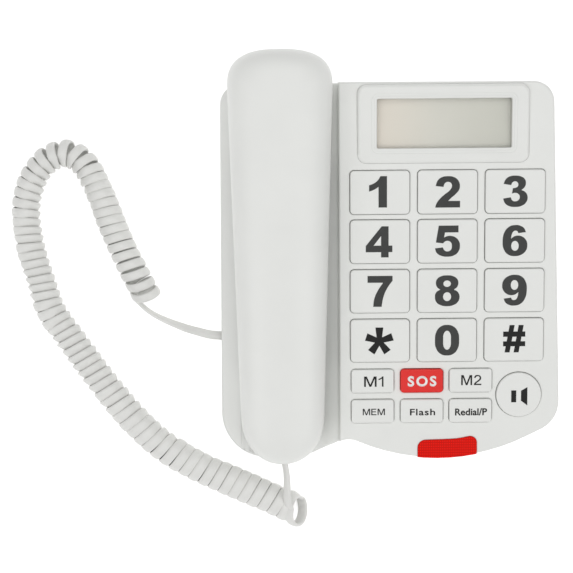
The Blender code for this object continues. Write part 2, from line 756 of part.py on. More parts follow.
def ringer_switch():
    """A knob that slides along the right wall, with its foot inside."""
    work = loft([
        [(x, y, z) for y, z in plan]
        for x, plan in (
            (-1.6, rounded(rectangle(14.0, 6.0, 0.6), step=KEY_ARC_STEP)),
            (0.0, rounded(rectangle(14.0, 6.0, 0.6), step=KEY_ARC_STEP)),
            (0.0, rounded(rectangle(4.4, 2.8, 0.6), step=KEY_ARC_STEP)),
            (5.0, rounded(rectangle(4.4, 2.8, 0.6), step=KEY_ARC_STEP)),
        )
    ])
    new_part("ringer_switch", work, BLACK, location=SWITCH_AT)


# Handset


def between(table, y):
    """A smooth value along the handset from a short table of (y, value)."""
    if y <= table[0][0]:
        (y0, v0), (y1, v1) = table[:2]
    elif y >= table[-1][0]:
        (y0, v0), (y1, v1) = table[-2:]
    else:
        (y0, v0), (y1, v1) = next(pair for pair in zip(table, table[1:]) if y <= pair[1][0])
    return v0 + (v1 - v0) * (y - y0) / (y1 - y0)


def end_share(y, power=None):
    """How full the handset is at y: 1 along its length, falling to 0 at its two tips."""
    if y > EAR_Y - CROWN_LENGTH:
        t, n = (y - (EAR_Y - CROWN_LENGTH)) / CROWN_LENGTH, CROWN_POWER
    elif y < NOSE_Y + NOSE_LENGTH:
        t, n = (NOSE_Y + NOSE_LENGTH - y) / NOSE_LENGTH, NOSE_POWER
    else:
        return 1.0
    n = power or n
    return (1 - min(t, 0.992) ** n) ** (1 / n)


def half_width(y):
    return between(HALF_WIDTH_AT, y) * end_share(y)


def cup_share(y):
    """0 along the grip and 1 over the ear and mouth cups, with a soft slope between."""
    t = max((y - EAR_CUP_Y) / CUP_SLOPE, (MOUTH_CUP_Y - y) / CUP_SLOPE) + 1
    t = min(max(t, 0.0), 1.0)
    return t * t * (3 - 2 * t)


def half_section(y, upward, wall):
    """A cross-section of one half of the handset at y: an arch on the parting plane."""
    width = half_width(y) - wall
    if upward:
        rise = (between(BACK_Z_AT, y) - PARTING_Z) * end_share(y, CROWN_EDGE_POWER) - wall
        power = BACK_POWER
    else:
        depth = PARTING_Z - GRIP_Z + (GRIP_Z - CUP_Z) * cup_share(y)
        rise = wall - depth * end_share(y, CROWN_EDGE_POWER if y > 0 else NOSE_EDGE_POWER)
        power = FRONT_POWER
    points = []
    for k in range(SECTION_SIDES + 1):
        a = pi * k / SECTION_SIDES
        x = width * abs(cos(a)) ** (2 / power) * (1 if cos(a) > 0 else -1)
        points.append((x, y, PARTING_Z + rise * abs(sin(a)) ** (2 / power)))
    return points


def handset_stations(wall):
    """Where the handset's cross-sections are cut, closer together towards its ends."""
    low, high = NOSE_Y + wall, EAR_Y - wall
    nose = [low + NOSE_LENGTH * (1 - cos(k * pi / 10)) for k in range(5)]
    crown = [high - CROWN_LENGTH * (1 - cos(k * pi / 10)) for k in range(4, -1, -1)]
    middle = [-75, -66, -60, -54, -48, -20, 15, 44, 50, 56, 62, 76]
    return nose + middle + crown


def handset_half(upward, wall=0.0, lip=0.0):
    """One half of the handset as a solid. A lip carries it on past the parting plane."""
    rings = []
    for y in handset_stations(wall):
        ring = half_section(y, upward, wall)
        if lip:
            z = PARTING_Z + (-lip if upward else lip)
            ring += [(ring[-1][0], y, z), (ring[0][0], y, z)]
        else:
            ring = [(x, y, z + (GAP / 2 if upward else -GAP / 2)) for x, y, z in ring]
        rings.append(ring)
    return loft(rings)


def handset_shells():
    back = new_part("handset_back_shell", handset_half(True), SHELL, HANDSET)
    combine(back, new_cutter("cutter_back_cavity", handset_half(True, HANDSET_WALL, 3.0), HANDSET))
    front = new_part("handset_front_shell", handset_half(False), SHELL, HANDSET)
    combine(front, new_cutter("cutter_front_cavity", handset_half(False, HANDSET_WALL, 3.0), HANDSET))

    bosses = bmesh.new()
    bores = bmesh.new()
    heads = bmesh.new()
    for y in HANDSET_SCREWS_Y:
        add_cylinder(bosses, 3.2, 11.0, between(BACK_Z_AT, y) - 1.0, (0, y), 12)
        add_cylinder(bores, BOSS_BORE, 0.0, 20.0, (0, y), 10)
        add_cylinder(heads, 3.0, 0.0, GRIP_Z + 0.8, (0, y), 12)
    combine(back, new_cutter("joiner_handset_bosses", bosses, HANDSET), "UNION")
    bore = new_cutter("cutter_handset_bores", bores, HANDSET)
    combine(back, bore)
    combine(front, bore)
    combine(front, new_cutter("cutter_handset_heads", heads, HANDSET))

    grille = bmesh.new()
    for k in range(-2, 3):
        add_box(grille, (1.6, 12.3 - 2 * abs(k), 7.0), (3.7 * k, EAR_CUP_Y + 18.1, CUP_Z))
    add_cylinder(grille, 1.1, CUP_Z - 4, CUP_Z + 4, (0, MOUTH_CUP_Y - 20), 8)
    combine(front, new_cutter("cutter_sound_holes", grille, HANDSET))
    port = box((8.2, 8.0, 7.2), (0, NOSE_Y, HANDSET_JACK_Z))
    combine(front, new_cutter("cutter_handset_port", port, HANDSET))


def handset_insides():
    floor_z = CUP_Z + HANDSET_WALL + 1.2
    ear = [(0, 7), (8, 7), (8, 4), (13.5, 2.5), (13.5, 0), (0, 0)]
    turned("earpiece_capsule", ear, BLACK, 20, parent=HANDSET, location=(0, EAR_CUP_Y + 18, floor_z))
    microphone = [(0, 3), (4.8, 3), (4.8, 0), (0, 0)]
    place = (0, MOUTH_CUP_Y - 20, floor_z)
    turned("microphone_capsule", microphone, BLACK, 16, parent=HANDSET, location=place)
    new_part("handset_weight", box((22.0, 50.0, 7.0)), STEEL, HANDSET, (0, 0, 12.0))
    screw = [(0, 12), (SCREW_RADIUS, 11), (SCREW_RADIUS, 0), (2.6, 0), (2.6, -0.9), (0, -0.9)]
    for k, y in enumerate(HANDSET_SCREWS_Y):
        place = (0, y, GRIP_Z + 0.8 - GAP)
        turned(f"handset_screw_{k + 1}", screw, STEEL, 10, parent=HANDSET, location=place)


# Cord


def plug(name, **place):
    """A modular plug whose wire end is at its origin, pointing into a jack along +Y."""
    work = box(PLUG, (0, PLUG[1] / 2, 0))
    new_part(name, work, WINDOW_CLEAR, **place)


def cord():
    x, y, z = BASE_JACK
    plug("base_cord_plug", location=(x - 1.6, y, z), turn=(0, 0, -pi / 2))
    plug("handset_cord_plug", parent=HANDSET, location=(0, HANDSET_JACK_Y - 2.3, HANDSET_JACK_Z))
    tube("cord_lead_base", smooth_route(BASE_LEAD_ROUTE, 5.0), WIRE_RADIUS, 2, CORD)
    tube("cord_lead_handset", smooth_route(HANDSET_LEAD_ROUTE, 4.0), WIRE_RADIUS, 2, CORD)
    coil = smooth_route([(x, y, COIL_Z) for x, y in COIL_ROUTE], 9.0)
    tube("cord_coil", coil, COIL_RADIUS, 2, CORD)


def main():
    base_lower_shell()
    base_upper_shell()
    display()
    key_mat_and_board()
    keys()
    ring_lamp()
    speaker_and_jacks()
    battery_door_and_cells()
    feet_and_screws()
    hook_plunger()
    ringer_switch()
    handset_shells()
    handset_insides()
    cord()


main()
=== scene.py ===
"""The looks of a corded big-button desk telephone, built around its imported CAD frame.

World axes: +X right and +Y rear, as someone at the telephone sees it, and +Z up from the table.
Sizes are in millimetres, and MM turns them into metres where a mesh is made.
"""

from math import asin, atan2, ceil, cos, pi, radians, sin, tan

import bmesh
import bpy
from bpy.props import FloatProperty, FloatVectorProperty, PointerProperty
from mathutils import Matrix, Vector


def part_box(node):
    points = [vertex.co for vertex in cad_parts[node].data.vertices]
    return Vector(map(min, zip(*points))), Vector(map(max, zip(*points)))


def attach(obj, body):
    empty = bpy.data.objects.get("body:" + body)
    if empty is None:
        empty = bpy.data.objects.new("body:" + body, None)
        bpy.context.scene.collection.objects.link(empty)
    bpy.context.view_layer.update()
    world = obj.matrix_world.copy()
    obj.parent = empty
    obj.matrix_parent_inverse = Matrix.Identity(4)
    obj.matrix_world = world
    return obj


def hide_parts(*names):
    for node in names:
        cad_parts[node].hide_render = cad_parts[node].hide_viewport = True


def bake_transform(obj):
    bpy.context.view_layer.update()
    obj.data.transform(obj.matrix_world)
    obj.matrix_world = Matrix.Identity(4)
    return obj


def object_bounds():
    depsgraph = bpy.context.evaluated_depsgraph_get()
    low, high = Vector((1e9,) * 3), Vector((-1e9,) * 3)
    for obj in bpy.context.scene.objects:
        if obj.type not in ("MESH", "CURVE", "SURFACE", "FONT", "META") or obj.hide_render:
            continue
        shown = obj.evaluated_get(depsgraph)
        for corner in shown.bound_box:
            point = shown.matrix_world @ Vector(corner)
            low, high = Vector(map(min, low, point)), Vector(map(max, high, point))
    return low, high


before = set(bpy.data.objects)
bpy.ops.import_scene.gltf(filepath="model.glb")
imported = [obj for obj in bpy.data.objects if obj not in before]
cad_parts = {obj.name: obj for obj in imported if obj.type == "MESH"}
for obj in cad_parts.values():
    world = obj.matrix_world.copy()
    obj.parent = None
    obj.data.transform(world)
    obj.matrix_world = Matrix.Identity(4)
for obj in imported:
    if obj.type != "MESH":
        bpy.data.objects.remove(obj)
CAD_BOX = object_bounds()

bl_info = {
    "name": "Desk telephone looks",
    "version": (1, 0, 0),
    "blender": (4, 5, 0),
    "location": "3D View > Sidebar > Telephone",
    "description": "Builds the finished pieces of a corded big-button desk telephone on its CAD frame",
    "category": "Object",
}

MM = 0.001
GAP = 0.3
TILT = radians(8)
DECK_Z = 40.0
WORLD = Matrix.Identity(4)
DECK = Matrix.Translation((0, 0, DECK_Z * MM)) @ Matrix.Rotation(TILT, 4, "X")
HANDSET_X = -58.0
HANDSET = DECK @ Matrix.Translation((HANDSET_X * MM, 0, 0))

# Outline of the base, counter-clockwise from the right rear corner: x, y, corner radius.
BASE_OUTLINE = [
    (86.2, 92.3, 11),
    (-89.8, 92.7, 11),
    (-91.2, -107.1, 24.7),
    (-45.6, -107.2, 25),
    (-22.85, -96.5, 12),
    (28.97, -118.1, 108),
    (91.1, -88.1, 17),
]
ARC_STEP = radians(4)
CORNER_STEP = radians(12)
WALL = 2.2
UNDERSIDE_Z = 2.5
FLOOR_Z = 5.3
SPLIT_Z = 6.8


def linear(colour):
    """The linear red, green and blue of an sRGB hex colour."""
    shares = [int(colour[k : k + 2], 16) / 255 for k in (1, 3, 5)]
    return tuple(c / 12.92 if c <= 0.04045 else ((c + 0.055) / 1.055) ** 2.4 for c in shares)


# Settings


def length_setting(name, what, length):
    """A length that the sidebar can change, given in millimetres."""
    return FloatProperty(name=name, description=what, default=length * MM, unit="LENGTH")


def light_setting(name, what, power):
    return FloatProperty(name=name, description=what, default=power, min=0, unit="POWER")


def colour_setting(name, what, colour):
    return FloatVectorProperty(
        name=name, description=what, subtype="COLOR", size=3, min=0, max=1, default=linear(colour),
    )


class StageSettings(bpy.types.PropertyGroup):
    """The camera, the lights and the floor."""

    camera_height: length_setting("Camera height", "Height of the camera above the table", 950.0)
    view_width: length_setting("View width", "Width of the table that the camera takes in", 318.3)
    camera_roll: FloatProperty(
        name="Camera roll", description="Turn of the camera about its own axis",
        default=radians(-0.5), subtype="ANGLE",
    )
    room_light: FloatProperty(
        name="Room light", description="Brightness of the white surroundings", default=0.45, min=0,
    )
    left_light: light_setting("Left softbox", "Power of the softbox in front on the left", 6)
    right_light: light_setting("Right softbox", "Power of the softbox in front on the right", 4.5)
    top_light: light_setting("Top softbox", "Power of the softbox overhead", 7)
    floor_colour: colour_setting("Floor", "Colour of the floor", "#FAFAFA")


class FinishSettings(bpy.types.PropertyGroup):
    """The colours of the telephone."""

    shell: colour_setting("Shell", "Colour of the base and the handset", "#E7E8E5")
    key: colour_setting("Keys", "Colour of the white keys", "#E7E8E5")
    red_key: colour_setting("Emergency key", "Colour of the red key", "#E3170F")
    print_ink: colour_setting("Print", "Colour of the printed digits", "#3D3E3D")
    small_print_ink: colour_setting("Small print", "Colour of the printed words and signs", "#161716")
    lamp: colour_setting("Ring lamp", "Colour of the lamp's lens", "#EE180C")
    cord: colour_setting("Cord", "Colour of the cord's jacket", "#E2E2DF")


class CordSettings(bpy.types.PropertyGroup):
    """The handset cord."""

    width: length_setting("Wire width", "Width of the flat wire", 5.2)
    thickness: length_setting("Wire thickness", "Thickness of the flat wire", 2.3)
    coil_width: length_setting("Coil width", "Outside diameter of the coil at the base's end", 15.9)
    pitch: length_setting("Coil pitch", "Length of coil that one turn takes at the handset's end", 6.0)


class KeySettings(bpy.types.PropertyGroup):
    """The keys and their printing."""

    edge_radius: length_setting("Key edge", "Radius of the rounded edge round a key's top", 0.7)
    print_height: length_setting("Print thickness", "How far the printing stands off a key", 0.06)


def stage_settings():
    return bpy.context.scene.telephone_stage


def finish_settings():
    return bpy.context.scene.telephone_finish


def cord_settings():
    return bpy.context.scene.telephone_cord


def key_settings():
    return bpy.context.scene.telephone_keys


# Shapes


def rounded(corners, inset=0.0, step=ARC_STEP):
    """The points of a closed outline whose corners are arcs, moved inwards by inset."""
    points = []
    count = len(corners)
    for i in range(count):
        before, here, after = (Vector(corners[(i + k) % count][:2]) for k in (-1, 0, 1))
        along_in = (here - before).normalized()
        along_out = (after - here).normalized()
        turn = atan2(along_in.cross(along_out), along_in.dot(along_out))
        side = 1 if turn > 0 else -1
        radius = max(corners[i][2] - inset * side, 0.02)
        left_in = Vector((-along_in.y, along_in.x))
        left_out = Vector((-along_out.y, along_out.x))
        inwards = (left_in + left_out) / (1 + left_in.dot(left_out))
        centre = here + inwards * (inset + radius * side)
        steps = max(1, ceil(abs(turn) / step))
        for k in range(steps + 1):
            arm = Matrix.Rotation(turn * k / steps, 2) @ (left_in * -radius * side)
            points.append(centre + arm)
    return points


def rectangle(width, height, radius=0.5, centre=(0, 0)):
    """The corners of a rounded rectangle, for rounded()."""
    x, y = centre
    a, b = width / 2, height / 2
    return [(x + a, y + b, radius), (x - a, y + b, radius), (x - a, y - b, radius), (x + a, y - b, radius)]


def level(points, z):
    return [(x, y, z) for x, y in points]


def deck_z(y):
    return DECK_Z + tan(TILT) * y


def below_deck(points, depth):
    return [(x, y, deck_z(y) - depth) for x, y in points]


def add_loft(work, rings):
    """Adds a closed skin through rings of equally many points, with a flat face at each end."""
    rows = [[work.verts.new(Vector(point) * MM) for point in ring] for ring in rings]
    for low, high in zip(rows, rows[1:]):
        for a in range(len(low)):
            b = (a + 1) % len(low)
            work.faces.new((low[a], low[b], high[b], high[a]))
    work.faces.new(rows[0][::-1])
    work.faces.new(rows[-1])
    return work


def loft(rings):
    return add_loft(bmesh.new(), rings)


def add_box(work, size, centre=(0, 0, 0)):
    place = Matrix.Translation(Vector(centre) * MM) @ Matrix.Diagonal((*(Vector(size) * MM), 1))
    bmesh.ops.create_cube(work, size=1, matrix=place)
    return work


def add_cylinder(work, radius, z0, z1, centre=(0, 0), sides=40):
    place = Matrix.Translation(Vector((*centre, (z0 + z1) / 2)) * MM) @ Matrix.Rotation(0.2, 4, "Z")
    bmesh.ops.create_cone(
        work, cap_ends=True, segments=sides, radius1=radius * MM, radius2=radius * MM,
        depth=(z1 - z0) * MM, matrix=place,
    )
    return work


def turned(profile, sides=64):
    """A turned solid from a profile of (radius, z), spun about Z."""
    work = bmesh.new()
    points = [work.verts.new((radius * MM, 0, z * MM)) for radius, z in profile]
    edges = [work.edges.new(pair) for pair in zip(points, points[1:])]
    bmesh.ops.spin(
        work, geom=points + edges, cent=(0, 0, 0), axis=(0, 0, 1), angle=2 * pi, steps=sides, use_merge=True,
    )
    bmesh.ops.remove_doubles(work, verts=work.verts, dist=0.000001)
    return work


def arc_edge(radius, steps=5):
    """How far in and how far down each step of a rounded edge lies, from its side to its top."""
    angles = [k * pi / 2 / steps for k in range(steps + 1)]
    return [(radius * (1 - cos(a)), radius * (1 - sin(a))) for a in angles]


def new_piece(name, work, material=None, place=WORLD):
    """A mesh object whose vertices are in the row frame, with outward faces."""
    bmesh.ops.transform(work, matrix=place, verts=work.verts)
    bmesh.ops.recalc_face_normals(work, faces=work.faces)
    mesh = bpy.data.meshes.new(name)
    work.to_mesh(mesh)
    work.free()
    if material:
        mesh.materials.append(material)
    piece = bpy.data.objects.new(name, mesh)
    bpy.context.scene.collection.objects.link(piece)
    return piece


def settle(piece):
    """Turns a piece's modifiers into its mesh."""
    bpy.context.view_layer.update()
    graph = bpy.context.evaluated_depsgraph_get()
    mesh = bpy.data.meshes.new_from_object(piece.evaluated_get(graph))
    worn = piece.data
    piece.modifiers.clear()
    piece.data = mesh
    bpy.data.meshes.remove(worn)


def carve(piece, work, place=WORLD, operation="DIFFERENCE"):
    """Cuts a solid out of a piece, or joins it on, and removes the solid."""
    tool = new_piece("tool", work, place=place)
    boolean = piece.modifiers.new("carve", "BOOLEAN")
    boolean.operation = operation
    boolean.object = tool
    settle(piece)
    bpy.data.objects.remove(tool)
    if not piece.data.polygons:
        raise RuntimeError(f"{piece.name} lost its faces in a cut")


def smooth(piece, angle=32, weighted=True):
    """Shades gentle edges smooth, with flat faces kept flat."""
    piece.data.shade_smooth()
    piece.data.set_sharp_from_angle(angle=radians(angle))
    if weighted:
        normals = piece.modifiers.new("normals", "WEIGHTED_NORMAL")
        normals.keep_sharp = True
        settle(piece)
    return piece


def stand_for(piece, body, slot, *nodes):
    """Puts a finished piece on its body and in place of its CAD nodes; its slot is not used."""
    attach(piece, body)
    if nodes:
        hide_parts(*nodes)
    return piece


# Materials


def add_node(tree, kind, settings=None, links=None):
    """A shader node with its settings, and its inputs linked to other nodes' outputs."""
    node = tree.nodes.new(kind)
    for name, value in (settings or {}).items():
        if name in node.inputs:
            node.inputs[name].default_value = value
        else:
            setattr(node, name, value)
    for name, output in (links or {}).items():
        tree.links.new(output, node.inputs[name])
    return node


def new_material(name, shader_settings):
    material = bpy.data.materials.new(name)
    material.use_nodes = True
    tree = material.node_tree
    shader = tree.nodes["Principled BSDF"]
    for socket, value in shader_settings.items():
        shader.inputs[socket].default_value = value
    return material, tree, shader


def shade(colour, factor):
    return (*(min(1.0, c * factor) for c in colour), 1)


def grained(name, colour, roughness, grain, depth, cloud=22.0, spread=0.035, **shader_settings):
    """A material with a fine grain in relief, and slow clouds in its colour and gloss.

    grain and cloud are the sizes in mm of one grain and one cloud, depth the height of the grain in mm,
    and spread the share by which the colour changes."""
    material, tree, shader = new_material(name, {"Roughness": roughness, **shader_settings})
    place = add_node(tree, "ShaderNodeTexCoord").outputs["Object"]
    clouds = add_node(
        tree, "ShaderNodeTexNoise",
        {"Scale": 1 / (cloud * MM), "Detail": 3.0, "Roughness": 0.55}, {"Vector": place},
    )
    tint = add_node(tree, "ShaderNodeValToRGB", {}, {"Fac": clouds.outputs["Fac"]})
    tint.color_ramp.elements[0].position = 0.3
    tint.color_ramp.elements[0].color = shade(colour, 1 - spread)
    tint.color_ramp.elements[1].position = 0.7
    tint.color_ramp.elements[1].color = shade(colour, 1 + spread)
    tree.links.new(tint.outputs["Color"], shader.inputs["Base Color"])
    gloss = add_node(
        tree, "ShaderNodeMapRange",
        {"From Min": 0.3, "From Max": 0.7, "To Min": roughness * 0.92, "To Max": roughness * 1.08},
        {"Value": clouds.outputs["Fac"]},
    )
    tree.links.new(gloss.outputs["Result"], shader.inputs["Roughness"])
    grains = add_node(
        tree, "ShaderNodeTexNoise",
        {"Scale": 1 / (grain * MM), "Detail": 2.0, "Roughness": 0.5}, {"Vector": place},
    )
    relief = add_node(
        tree, "ShaderNodeBump", {"Strength": 1.0, "Distance": depth * MM}, {"Height": grains.outputs["Fac"]}
    )
    tree.links.new(relief.outputs["Normal"], shader.inputs["Normal"])
    return material


MATERIALS = {}


def finish(name):
    """A finish of the telephone, all of which are made when the first is asked for."""
    if not MATERIALS:
        make_materials()
    return MATERIALS[name]


def make_materials():
    """Every finish of the telephone, by a maker's name for it."""
    colours = finish_settings()
    # ABS, injection moulded in a spark-eroded tool: a satin skin with a fine grain.
    MATERIALS["shell"] = grained(
        "abs_moulded_satin", colours.shell, 0.42, 0.9, 0.004, spread=0.012, **{"IOR": 1.53}
    )
    # ABS key caps from a smoother tool: a little more gloss than the shell round them.
    MATERIALS["key"] = grained(
        "abs_moulded_key_caps", colours.key, 0.36, 0.8, 0.003, spread=0.01, **{"IOR": 1.53}
    )
    MATERIALS["red_key"] = grained(
        "abs_moulded_red", colours.red_key, 0.36, 0.8, 0.003, spread=0.02, **{"IOR": 1.53}
    )
    # Pad-printed ink: flat and matt, with faint pinholes, grey for the digits and black for the small print.
    matt = {"Specular IOR Level": 0.3}
    MATERIALS["print"] = grained(
        "ink_pad_printed_grey", colours.print_ink, 0.6, 0.5, 0.003, 4.0, 0.1, **matt
    )
    MATERIALS["small_print"] = grained(
        "ink_pad_printed_black", colours.small_print_ink, 0.6, 0.5, 0.003, 4.0, 0.1, **matt
    )
    MATERIALS["white_print"] = grained(
        "ink_pad_printed_white", linear("#F4F2F0"), 0.6, 0.5, 0.003, 4.0, 0.03
    )
    # PVC, extruded over flat conductors: a soft sheen on a slightly uneven skin.
    MATERIALS["cord"] = grained(
        "pvc_extruded", colours.cord, 0.45, 1.2, 0.006, 9.0, 0.02, **{"IOR": 1.54}
    )
    # Polycarbonate, moulded with a fine prismatic grid inside, deep red and glossy.
    MATERIALS["lamp"] = prismatic("polycarbonate_moulded_red", colours.lamp)
    # Acrylic, cast and polished: clear and hard, with sharp reflections.
    clear = {"IOR": 1.49, "Alpha": 0.12}
    MATERIALS["window"] = grained(
        "acrylic_cast_clear", linear("#EDEEEA"), 0.06, 30.0, 0.002, 30.0, 0.02, **clear
    )
    # Glass behind a polarising film, unlit: a dull sheen, over a painted reflection that makes the grey
    # warmer and lighter at the left end and cooler and darker at the right.
    MATERIALS["lcd"] = graded("lcd_glass_painted_reflection")
    # Silicone rubber, moulded: dull and soft.
    MATERIALS["rubber"] = grained("silicone_rubber_moulded", linear("#5A5B5C"), 0.75, 0.6, 0.02, 8.0, 0.06)
    # Steel with a thin plating, bluish zinc or yellower nickel: bright, with slow streaks in its gloss.
    MATERIALS["zinc"] = grained(
        "steel_zinc_plated", linear("#B9BCBE"), 0.32, 0.5, 0.004, 3.0, 0.05, **{"Metallic": 1.0}
    )
    MATERIALS["nickel"] = grained(
        "steel_nickel_plated", linear("#C3C0B8"), 0.28, 0.7, 0.003, 5.0, 0.04, **{"Metallic": 1.0}
    )
    # Nylon, moulded for the sockets: black with a low gloss.
    MATERIALS["nylon"] = grained("nylon_moulded_black", linear("#222324"), 0.5, 0.7, 0.006, 6.0, 0.08)
    # Glass and epoxy laminate under green solder mask: glossy, over a faint weave.
    MATERIALS["board"] = grained("glass_epoxy_laminate_green", linear("#1E5B34"), 0.4, 0.4, 0.004, 5.0, 0.1)


# The width in mm of one prism of the lamp's lens.
PRISM = 1.2


def prismatic(name, colour):
    """Clear red plastic over a grid of small prisms, which runs across the lens and down its front."""
    material, tree, shader = new_material(name, {"Roughness": 0.3, "IOR": 1.58, "Specular IOR Level": 0.08})
    place = add_node(tree, "ShaderNodeTexCoord").outputs["Object"]
    parts = add_node(tree, "ShaderNodeSeparateXYZ", {}, {"Vector": place})
    down = add_node(tree, "ShaderNodeMath", {"operation": "SUBTRACT"})
    tree.links.new(parts.outputs["Z"], down.inputs[0])
    tree.links.new(parts.outputs["Y"], down.inputs[1])
    over = add_node(tree, "ShaderNodeCombineXYZ", {}, {"X": parts.outputs["X"], "Y": down.outputs["Value"]})
    grid = add_node(tree, "ShaderNodeMath", {"operation": "MULTIPLY"})
    # A wave texture of scale 1 has a band every 20 / 2 pi metres.
    scale = 2 * pi / 20 / (PRISM * MM)
    for k, axis in enumerate(("X", "Y")):
        wave = add_node(
            tree, "ShaderNodeTexWave",
            {"wave_type": "BANDS", "bands_direction": axis, "Scale": scale, "Distortion": 0.0},
            {"Vector": over.outputs["Vector"]},
        )
        tree.links.new(wave.outputs["Fac"], grid.inputs[k])
    tint = add_node(tree, "ShaderNodeValToRGB", {}, {"Fac": grid.outputs["Value"]})
    tint.color_ramp.elements[0].color = shade(colour, 0.72)
    tint.color_ramp.elements[1].color = shade(colour, 1.15)
    tree.links.new(tint.outputs["Color"], shader.inputs["Base Color"])
    relief = add_node(
        tree, "ShaderNodeBump", {"Strength": 0.5, "Distance": 0.1 * MM}, {"Height": grid.outputs["Value"]}
    )
    tree.links.new(relief.outputs["Normal"], shader.inputs["Normal"])
    return material


def graded(name):
    """The display's panel: a warm grey that turns cooler and darker towards the right, a painted reflection
    of the room's light across the glass.
    """
    material, tree, shader = new_material(name, {"Roughness": 0.25, "IOR": 1.5})
    place = add_node(tree, "ShaderNodeTexCoord").outputs["Object"]
    low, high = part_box("lcd_panel")
    parts = add_node(tree, "ShaderNodeSeparateXYZ", {}, {"Vector": place})
    across = add_node(
        tree, "ShaderNodeMapRange", {"From Min": low.x, "From Max": high.x}, {"Value": parts.outputs["X"]}
    )
    # Painted reflection: this ramp across the panel's width stands in for light reflected off the glass.
    tint = add_node(tree, "ShaderNodeValToRGB", {}, {"Fac": across.outputs["Result"]})
    ramp = tint.color_ramp
    ramp.elements[0].color = (*linear("#EBE1D3"), 1)
    ramp.elements[1].color = (*linear("#C6C6BA"), 1)
    ramp.elements.new(0.45).color = (*linear("#DAD8CD"), 1)
    tree.links.new(tint.outputs["Color"], shader.inputs["Base Color"])
    return material


# Stage

# The camera's place along x and y from the middle of the whole model, in mm.
CAMERA_OFFSET = (2.01, 3.27)
FLOOR_SIZE = 4.0
FLOOR_GLOW = 0.42


class TELEPHONE_OT_stage(bpy.types.Operator):
    """Adds the floor, the surroundings, the softboxes and the camera"""

    bl_idname = "telephone.stage"
    bl_label = "Stage"

    def execute(self, context):
        stage = stage_settings()
        low, high = CAD_BOX
        middle = Vector((low.x + high.x, low.y + high.y, 0)) / 2

        work = bmesh.new()
        bmesh.ops.create_grid(work, x_segments=8, y_segments=8, size=FLOOR_SIZE)
        floor = new_piece("floor", work)
        # Matt white board, lit from below as well, so that it stays pale round the telephone.
        material, _, _ = new_material(
            "board_matt_white",
            {
                "Base Color": (*stage.floor_colour, 1), "Roughness": 0.9, "Specular IOR Level": 0.0,
                "Emission Color": (1, 1, 1, 1), "Emission Strength": FLOOR_GLOW,
            },
        )
        floor.data.materials.append(material)

        world = bpy.data.worlds.new("white_room")
        world.use_nodes = True
        room = world.node_tree.nodes["Background"]
        room.inputs["Color"].default_value = (1, 1, 1, 1)
        room.inputs["Strength"].default_value = stage.room_light
        context.scene.world = world

        for name, place, size, power in (
            ("softbox_left", (-0.9, -0.65, 1.35), 1.1, stage.left_light),
            ("softbox_right", (0.9, -0.55, 1.3), 0.9, stage.right_light),
            ("softbox_top", (0.1, 0.35, 1.7), 1.2, stage.top_light),
        ):
            light = bpy.data.lights.new(name, "AREA")
            light.shape = "SQUARE"
            light.size = size
            light.energy = power
            softbox = bpy.data.objects.new(name, light)
            softbox.location = middle + Vector(place)
            softbox.rotation_euler = (middle - softbox.location).to_track_quat("-Z", "Y").to_euler()
            context.scene.collection.objects.link(softbox)

        lens = bpy.data.cameras.new("camera")
        lens.sensor_width = 36
        lens.lens = lens.sensor_width * stage.camera_height / stage.view_width
        camera = bpy.data.objects.new("camera", lens)
        aside, back = CAMERA_OFFSET
        camera.location = (middle.x + aside * MM, middle.y + back * MM, stage.camera_height)
        camera.rotation_euler = (0, 0, stage.camera_roll)
        context.scene.collection.objects.link(camera)
        context.scene.camera = camera
        context.scene.view_settings.view_transform = "Standard"
        return {"FINISHED"}


# Cord

COIL_Z = 8.95
COIL_ROUTE = [
    (-131.8, -20.0),
    (-142.8, 1.7),
    (-150.4, 19.0),
    (-156.9, 36.0),
    (-164.2, 51.1),
    (-170.4, 57.4),
    (-176.4, 59.5),
    (-182.8, 58.1),
    (-188.6, 54.0),
    (-194.8, 44.4),
    (-198.1, 30.0),
    (-196.2, 10.1),
    (-190.4, -9.9),
    (-184.7, -26.8),
    (-174.8, -41.4),
    (-164.4, -56.0),
    (-152.7, -71.5),
    (-139.6, -86.9),
    (-123.8, -101.5),
    (-104.6, -113.1),
    (-85.5, -121.8),
    (-68.0, -129.5),
    (-60.0, -133.1),
    (-54.4, -135.6),
    (-48.7, -136.8),
]
# The plain wire at each end of the coil: a place, and the direction of the wire's thin side there.
BASE_LEAD = [
    ((-90.6, -41.2, 12.0), (0.0, 0.2, 1.0)),
    ((-97.0, -40.6, 11.4), (0.0, 0.2, 1.0)),
    ((-103.8, -39.0, 9.4), (0.1, 0.4, 1.0)),
    ((-111.0, -37.0, 6.6), (0.2, 0.6, 1.0)),
    ((-118.5, -34.2, 4.1), (0.4, 0.9, 0.9)),
    ((-125.0, -31.4, 3.0), (0.6, 0.9, 0.6)),
    ((-130.9, -28.1, 2.8), (0.6, 0.8, 0.3)),
    ((-135.6, -24.2, 2.8), (0.7, 0.7, 0.2)),
    ((-138.4, -21.2, 2.4), (0.8, 0.2, -0.6)),
    ((-137.2, -19.7, 1.8), (0.2, 0.0, -1.0)),
]
HANDSET_LEAD = [
    ((-55.9, -131.5, 19.4), (-0.7, 0.1, 0.7)),
    ((-56.0, -126.0, 22.0), (-0.8, 0.0, 0.6)),
    ((-56.0, -119.0, 25.2), (-0.9, 0.0, 0.5)),
    ((-56.7, -112.5, 27.3), (-0.9, 0.0, 0.4)),
    ((-58.0, -107.6, 27.9), (-0.9, 0.0, 0.4)),
]
# The coil's pitch in mm against the share of its length, when the pitch setting is 6 mm.
PITCH = [
    (0.0, 5.2), (0.02, 6.1), (0.06, 5.6), (0.12, 5.0), (0.2, 4.7), (0.45, 4.5), (0.62, 4.8), (0.8, 5.6),
    (1.0, 6.0),
]
# How far the turns lean back at the coil's two ends, and the length over which they do.
BASE_TILT, BASE_TILT_LENGTH = radians(24), 22.0
HANDSET_TILT, HANDSET_TILT_LENGTH = radians(42), 9.0
